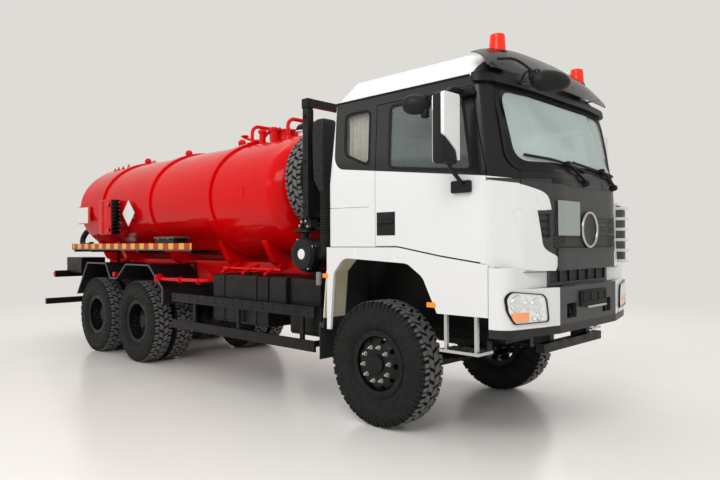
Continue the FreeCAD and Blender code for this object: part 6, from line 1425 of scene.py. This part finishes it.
class TANKER_OT_frame_trim(bpy.types.Operator):
    """Striped boards and strips of the trays, pipes with flanges, mudguard edges, tank straps and cap, guard bolts,
    dark panels of painted shade beside the engine, sill seals, flaps and tail lamps"""
    bl_idname = "tanker.frame_trim"
    bl_label = "Frame trim"

    def execute(self, context):
        board = [slab(oblong((-3.765, 1.715), (0.185, 1.8)), 1, sign * 1.2455, sign * 1.2535)
                 for sign in (-1.0, 1.0)]
        piece("striped_boards", board, "board", "chassis", bevel=0.002)
        strips = [both(block((-3.77, 1.2395, 1.695), (0.19, 1.252, 1.714), 0.003)),
                  both(block((-3.778, 1.235, 1.7), (-3.766, 1.26, 1.805), 0.003))]
        lid = [block((-0.86, -1.243, 1.865), (-0.3, -0.97, 1.893), 0.012, 3)]
        lid += [block((x - 0.02, -1.247, 1.84), (x + 0.02, -1.236, 1.885), 0.004) for x in (-0.72, -0.44)]
        piece("tray_strips", strips + lid, "grey_black", "chassis")
        pipe = [tube([(-0.76, -1.19, 1.285), (0.38, -1.19, 1.305), (0.44, -0.6, 1.31)], 0.026, 0.08, 16)]
        for x in (-0.75, -0.2, 0.28):
            pipe.append(revolved([(0.026, -0.01), (0.045, -0.01), (0.045, 0.01), (0.026, 0.01)],
                                 (x, -1.19, 1.293), AHEAD, 24))
        pipe.append(revolved([(0.026, -0.03), (0.075, -0.025), (0.08, 0.0), (0.075, 0.012), (0.03, 0.02)],
                             (-0.78, -1.19, 1.285), AHEAD, 32))
        pipe.append(revolved([(0.0, 0.04), (0.04, 0.035), (0.045, 0.0), (0.02, -0.04), (0.02, -0.14)],
                             (-2.18, -1.2, 1.31), RIGHT, 24))
        for x in (0.7, 1.15, 1.6):
            pipe.append(tube([(x, -0.86, 1.52), (x, -1.1, 1.43), (x, -1.12, 1.41)], 0.02, 0.05, 12))
        pipe.append(tube([(0.55, -0.98, 1.47), (1.75, -0.98, 1.47)], 0.024, 0.0, 16))
        piece("red_pipes", pipe, "red", "chassis", angle=40)
        run = [(-3.585, 0.93), (-3.175, 1.478), (-2.455, 1.478), (-2.3, 1.25), (-2.06, 1.25), (-1.745, 1.478),
               (-1.025, 1.478), (-0.615, 1.16), (-0.615, 0.93)]
        edge = tube([(x, 1.238, z) for x, z in run], 0.013, 0.03)
        piece("mudguard_edges", both(edge), "grey_black", "chassis", angle=50)
        clamps = [fuel_strap(x, 0.05, (-1.14, -0.425), (0.8, 1.4)) for x in (0.78, 1.45)]
        piece("fuel_straps", clamps, "black", "chassis")
        cap = revolved([(0.0, 0.035), (0.055, 0.033), (0.06, 0.025), (0.06, 0.0), (0.05, -0.01)],
                       (1.1, -1.0, 1.4), UP, 32)
        piece("fuel_cap", cap, "gloss", "chassis", angle=40)
        bolts = [(x, -1.229, z) for x in np.linspace(-0.3, 2.5, 15) for z in (1.035, 1.085)]
        piece("guard_bolts", both(set_at(hexagon(0.018, 0.008), bolts, RIGHT)), "black", "chassis")
        flap = both(block((2.668, 0.9, 0.58), (2.676, 1.2, 1.1), 0.003))
        # Painted shade: dark panels beside the engine that keep the inside of the wheel arches dark where the light
        # would show through
        arch_shade_panel = slab(soft_outline(oblong((2.3, 1.2), (3.6, 1.748)), 0.01), 1, 0.436, 0.444)
        piece("arch_shade_panels", both(arch_shade_panel), "black", "chassis")
        seal = [(2.73, 1.75), (3.785, 1.75), (4.285, 1.667), (4.6, 1.642), (4.6, 1.6), (4.285, 1.625), (3.785, 1.71),
                (2.73, 1.71)]
        piece("sill_seals", both(slab(seal, 1, 1.2, 1.212)), "rubber", "chassis")
        piece("flap_faces", flap, "rubber", "chassis")
        lamps = [block((-4.768, y - 0.065, 1.2), (-4.722, y + 0.065, 1.28), 0.01, 3) for y in (1.12, 0.96)]
        lamps.append(block((-4.722, 1.213, 1.205), (-4.67, 1.24, 1.275), 0.008))
        piece("tail_lamps", both(merged(lamps)), "red_lens", "chassis")
        return {"FINISHED"}


def fuel_strap(x, width, y, z):
    """Flat band round a tank: a rounded rectangle in Y and Z, carried along X by the band's width."""
    gap = 0.004
    loop = soft_outline(oblong((y[0] - gap, z[0] - gap), (y[1] + gap, z[1] + gap)), 0.05, 6)
    path = np.column_stack([np.full(len(loop), x), loop])
    return swept(path, [(-0.001, -width / 2), (-0.001, width / 2), (0.004, width / 2), (0.004, -width / 2)],
                 closed=True)


# Top of the cab


class TANKER_OT_top_trim(bpy.types.Operator):
    """Warning beacons, and the close-up mirror on its bracket"""
    bl_idname = "tanker.top_trim"
    bl_label = "Top trim"

    def execute(self, context):
        lenses, caps = [], []
        for sign in (-1.0, 1.0):
            place = (4.6, sign * 0.8, 0.0)
            lenses.append(revolved([(0.0, 3.655), (0.05, 3.655), (0.063, 3.65), (0.068, 3.636), (0.076, 3.51),
                                    (0.078, 3.496), (0.0, 3.496)], place, UP, 40))
            caps.append(revolved([(0.0, 3.496), (0.082, 3.496), (0.086, 3.488), (0.088, 3.4), (0.088, 3.37),
                                  (0.0, 3.37)], place, UP, 40))
            caps.append(block((4.512, sign * 0.8 - 0.1, 3.375), (4.72, sign * 0.8 + 0.1, 3.42), 0.02, 4))
        piece("beacon_lenses", lenses, "red_lens", "cab", replaces="beacons", angle=50)
        piece("beacon_feet", caps, "moulded", "cab", angle=50)

        mirror = egg((5.07, -0.722, 3.163), (0.56, 0.82, 0.0), (0.183, 0.085, 0.095))
        piece("closeup_mirror", mirror, "moulded", "cab", replaces="front_mirror", angle=180)
        arms = [tube([(4.79, -0.735, 3.19), (4.83, -0.72, 3.29), (4.87, -0.69, 3.305), (4.85, -0.6, 3.29),
                      (4.79, -0.5, 3.22)], 0.011, 0.03, 10),
                tube([(4.78, -1.09, 3.34), (4.85, -0.95, 3.36), (4.93, -0.87, 3.29), (5.0, -0.82, 3.2)],
                     0.012, 0.06, 10), tube([(4.79, -0.735, 3.19), (4.79, -0.5, 3.215)], 0.01, 0, 10),
                tube([(4.85, -0.69, 3.3), (4.95, -0.78, 3.24)], 0.012, 0, 10),
                block((4.93, -0.86, 3.17), (5.03, -0.76, 3.262), 0.02, 3)]
        piece("closeup_arms", arms, "gloss", "cab", angle=50)
        return {"FINISHED"}


# Inside of the cab


FLOOR_Z = 1.815
SEAT_X, SEAT_Y = 3.735, 0.56
CURTAIN_WIDE, CURTAIN_LONG, CURTAIN_TOP, CURTAIN_Y, FOLDS = 0.36, 0.6, 3.1, 1.142, 6.0
VOXEL, PRESSURE, STIFFNESS, CLOTH_FRAMES = 0.012, 4.0, 12.0, 20


def swollen(name, mesh, finish, reach):
    """Cushion from a closed mesh: remeshed, blown up as cloth under pressure, and kept within reach of where it
    began."""
    made = piece(name, mesh, finish, "cab", angle=180.0)
    fine = made.modifiers.new("Fine", "REMESH")
    fine.mode, fine.voxel_size = "VOXEL", VOXEL
    bpy.context.view_layer.update()
    solid = bpy.data.meshes.new_from_object(made.evaluated_get(bpy.context.evaluated_depsgraph_get()))
    made.modifiers.remove(fine)
    made.data = solid
    count = len(solid.vertices)
    start = np.empty(count * 3)
    solid.vertices.foreach_get("co", start)
    start = start.reshape(count, 3)
    cloth = made.modifiers.new("Filling", "CLOTH")
    cloth.settings.use_pressure = True
    cloth.settings.uniform_pressure_force = PRESSURE
    cloth.settings.tension_stiffness = cloth.settings.compression_stiffness = STIFFNESS
    cloth.settings.effector_weights.gravity = 0.0
    for frame_number in range(1, CLOTH_FRAMES + 1):
        bpy.context.scene.frame_set(frame_number)
    blown = bpy.data.meshes.new_from_object(made.evaluated_get(bpy.context.evaluated_depsgraph_get()))
    moved = np.empty(count * 3)
    blown.vertices.foreach_get("co", moved)
    moved = moved.reshape(count, 3)
    bpy.data.meshes.remove(blown)
    made.modifiers.remove(cloth)
    bpy.context.scene.frame_set(1)
    step = moved - start
    far = np.linalg.norm(step, axis=1, keepdims=True)
    moved = start + step * np.minimum(1.0, reach / np.maximum(far, 1e-9))
    solid.vertices.foreach_set("co", moved.ravel())
    solid.polygons.foreach_set("use_smooth", np.ones(len(solid.polygons), bool))
    solid.materials.clear()
    solid.materials.append(finish_of(finish))
    solid.update()
    smooth = made.modifiers.new("Smooth", "SUBSURF")
    smooth.levels = smooth.render_levels = 1


class TANKER_OT_inside(bpy.types.Operator):
    """Bunk, seats with padded cushions, backrests and headrests, and a curtain on its rail in each side window"""
    bl_idname = "tanker.inside"
    bl_label = "Inside"

    def execute(self, context):
        hard = [block((2.895, -1.08, FLOOR_Z + 0.002), (3.2, 1.08, 2.12), 0.02, 3)]
        for sign in (-1.0, 1.0):
            y = sign * SEAT_Y
            hard.append(tapered([(FLOOR_Z + 0.002, SEAT_X - 0.16, SEAT_X + 0.16, y - 0.125, y + 0.125),
                                 (1.99, SEAT_X - 0.12, SEAT_X + 0.12, y - 0.1, y + 0.1),
                                 (2.14, SEAT_X - 0.165, SEAT_X + 0.165, y - 0.128, y + 0.128)], 0.03))
            hard.append(block((SEAT_X - 0.24, y - 0.24, 2.146), (SEAT_X + 0.24, y + 0.24, 2.165), 0.008, 2))
            for edge in (y - 0.2, y + 0.2):
                hard.append(tube([(3.44, edge, 2.16), (3.36, edge, 2.2), (3.355, edge, 2.5)], 0.012, 0.03))
        piece("seat_frames", hard, "moulded", "cab", replaces="seats")
        for side, sign in SIDES:
            y = sign * SEAT_Y
            swollen("cushion_" + side, block((3.495, y - 0.235, 2.178), (3.97, y + 0.235, 2.268), 0.035, 4),
                    "seat_cloth", 0.024)
            swollen("backrest_" + side, block((3.365, y - 0.215, 2.2), (3.45, y + 0.215, 2.66), 0.035, 4),
                    "seat_cloth", 0.02)
            swollen("headrest_" + side, block((3.37, y - 0.13, 2.72), (3.445, y + 0.13, 2.84), 0.03, 4),
                    "seat_cloth", 0.016)
            place, fall = np.linspace(0.0, 1.0, 97), np.linspace(0.0, 1.0, 13)[:, None]
            x = 3.075 + place * CURTAIN_WIDE
            height = np.linspace(CURTAIN_TOP, CURTAIN_TOP - CURTAIN_LONG, 13)
            y = sign * (CURTAIN_Y + np.sin(place * FOLDS * TURN)[None] * (0.014 + 0.012 * fall))
            skin = np.stack(np.broadcast_arrays(x[None], y, height[:, None]), -1)
            inner = skin - np.array([0.0, sign * 0.0012, 0.0])
            made = piece("curtain_" + side, plated(skin, inner), "curtain", "cab", angle=180.0)
            rail = tube([(3.065, sign * CURTAIN_Y, 3.112), (3.445, sign * CURTAIN_Y, 3.112)], 0.008, 0, 10)
            rail_made = piece("curtain_rail_" + side, rail, "bright", "cab")
        return {"FINISHED"}


# Panel and registration


class TANKER_OT_finishes(bpy.types.Operator):
    """Finishes of the frame's own nodes"""
    bl_idname = "tanker.finishes"
    bl_label = "Finishes"

    def execute(self, context):
        for name, nodes in NODE_FINISHES.items():
            dress(name, *nodes)
        return {"FINISHED"}


NODE_FINISHES = {
    "black": ("frame_rails", "leaf_springs", "fuel_tank", "silencer_and_battery_box", "side_guards", "spare_rack",
              "hose_trays", "rear_bars"),
    "iron": ("engine_block", "propeller_shafts", "axle_housings", "knuckle_left", "knuckle_right"),
    "steel": ("tie_rod",),
    "bright": ("entry_steps",),
    "white": ("front_fenders", "sign_plate", "cab_cheeks"),
    "bumper": ("front_bumper",),
    "liner": ("arch_liners",),
    "cab": ("cab_shell", "door_left", "door_right"),
    "roof": ("cab_roof",),
    "trim": ("cab_front_panel",),
    "moulded": ("rear_fenders", "dashboard", "roof_brow", "urea_tank"),
    "tank": ("tank_shell",),
    "red": ("tank_fittings", "manhole_lid", "tank_cradle", "outlet_pipe"),
    "smoked": ("sun_visor",),
    "screen": ("cab_glass",),
    "window": ("door_glass_left", "door_glass_right"),
}


class TANKER_PT_panel(bpy.types.Panel):
    bl_label = "Tanker"
    bl_idname = "TANKER_PT_panel"
    bl_space_type = "VIEW_3D"
    bl_region_type = "UI"
    bl_category = "Tanker"

    def draw(self, context):
        for group in (context.scene.tanker_sizes, context.scene.tanker_colours):
            box = self.layout.box()
            for key in group.bl_rna.properties.keys():
                if key not in ("rna_type", "name"):
                    box.prop(group, key)
        for step in STEPS:
            self.layout.operator(step.bl_idname)


STEPS = (TANKER_OT_stage, TANKER_OT_finishes, TANKER_OT_tyres, TANKER_OT_wheel_trim,
         TANKER_OT_seals, TANKER_OT_front_trim, TANKER_OT_bumper_trim, TANKER_OT_wipers,
         TANKER_OT_headlamps, TANKER_OT_door_trim, TANKER_OT_spare, TANKER_OT_intake,
         TANKER_OT_rack_trim, TANKER_OT_tank_trim, TANKER_OT_control, TANKER_OT_frame_trim,
         TANKER_OT_top_trim, TANKER_OT_inside)

CLASSES = (TruckSizes, TruckColours) + STEPS + (TANKER_PT_panel,)


def register():
    for item in CLASSES:
        bpy.utils.register_class(item)
    bpy.types.Scene.tanker_sizes = bpy.props.PointerProperty(type=TruckSizes)
    bpy.types.Scene.tanker_colours = bpy.props.PointerProperty(type=TruckColours)


def unregister():
    del bpy.types.Scene.tanker_colours
    del bpy.types.Scene.tanker_sizes
    for item in reversed(CLASSES):
        bpy.utils.unregister_class(item)


def main():
    register()
    for step in STEPS:
        family, name = step.bl_idname.split(".")
        if getattr(getattr(bpy.ops, family), name)() != {"FINISHED"}:
            raise RuntimeError("step %s did not finish" % step.bl_idname)


if __name__ == "__main__":
    main()
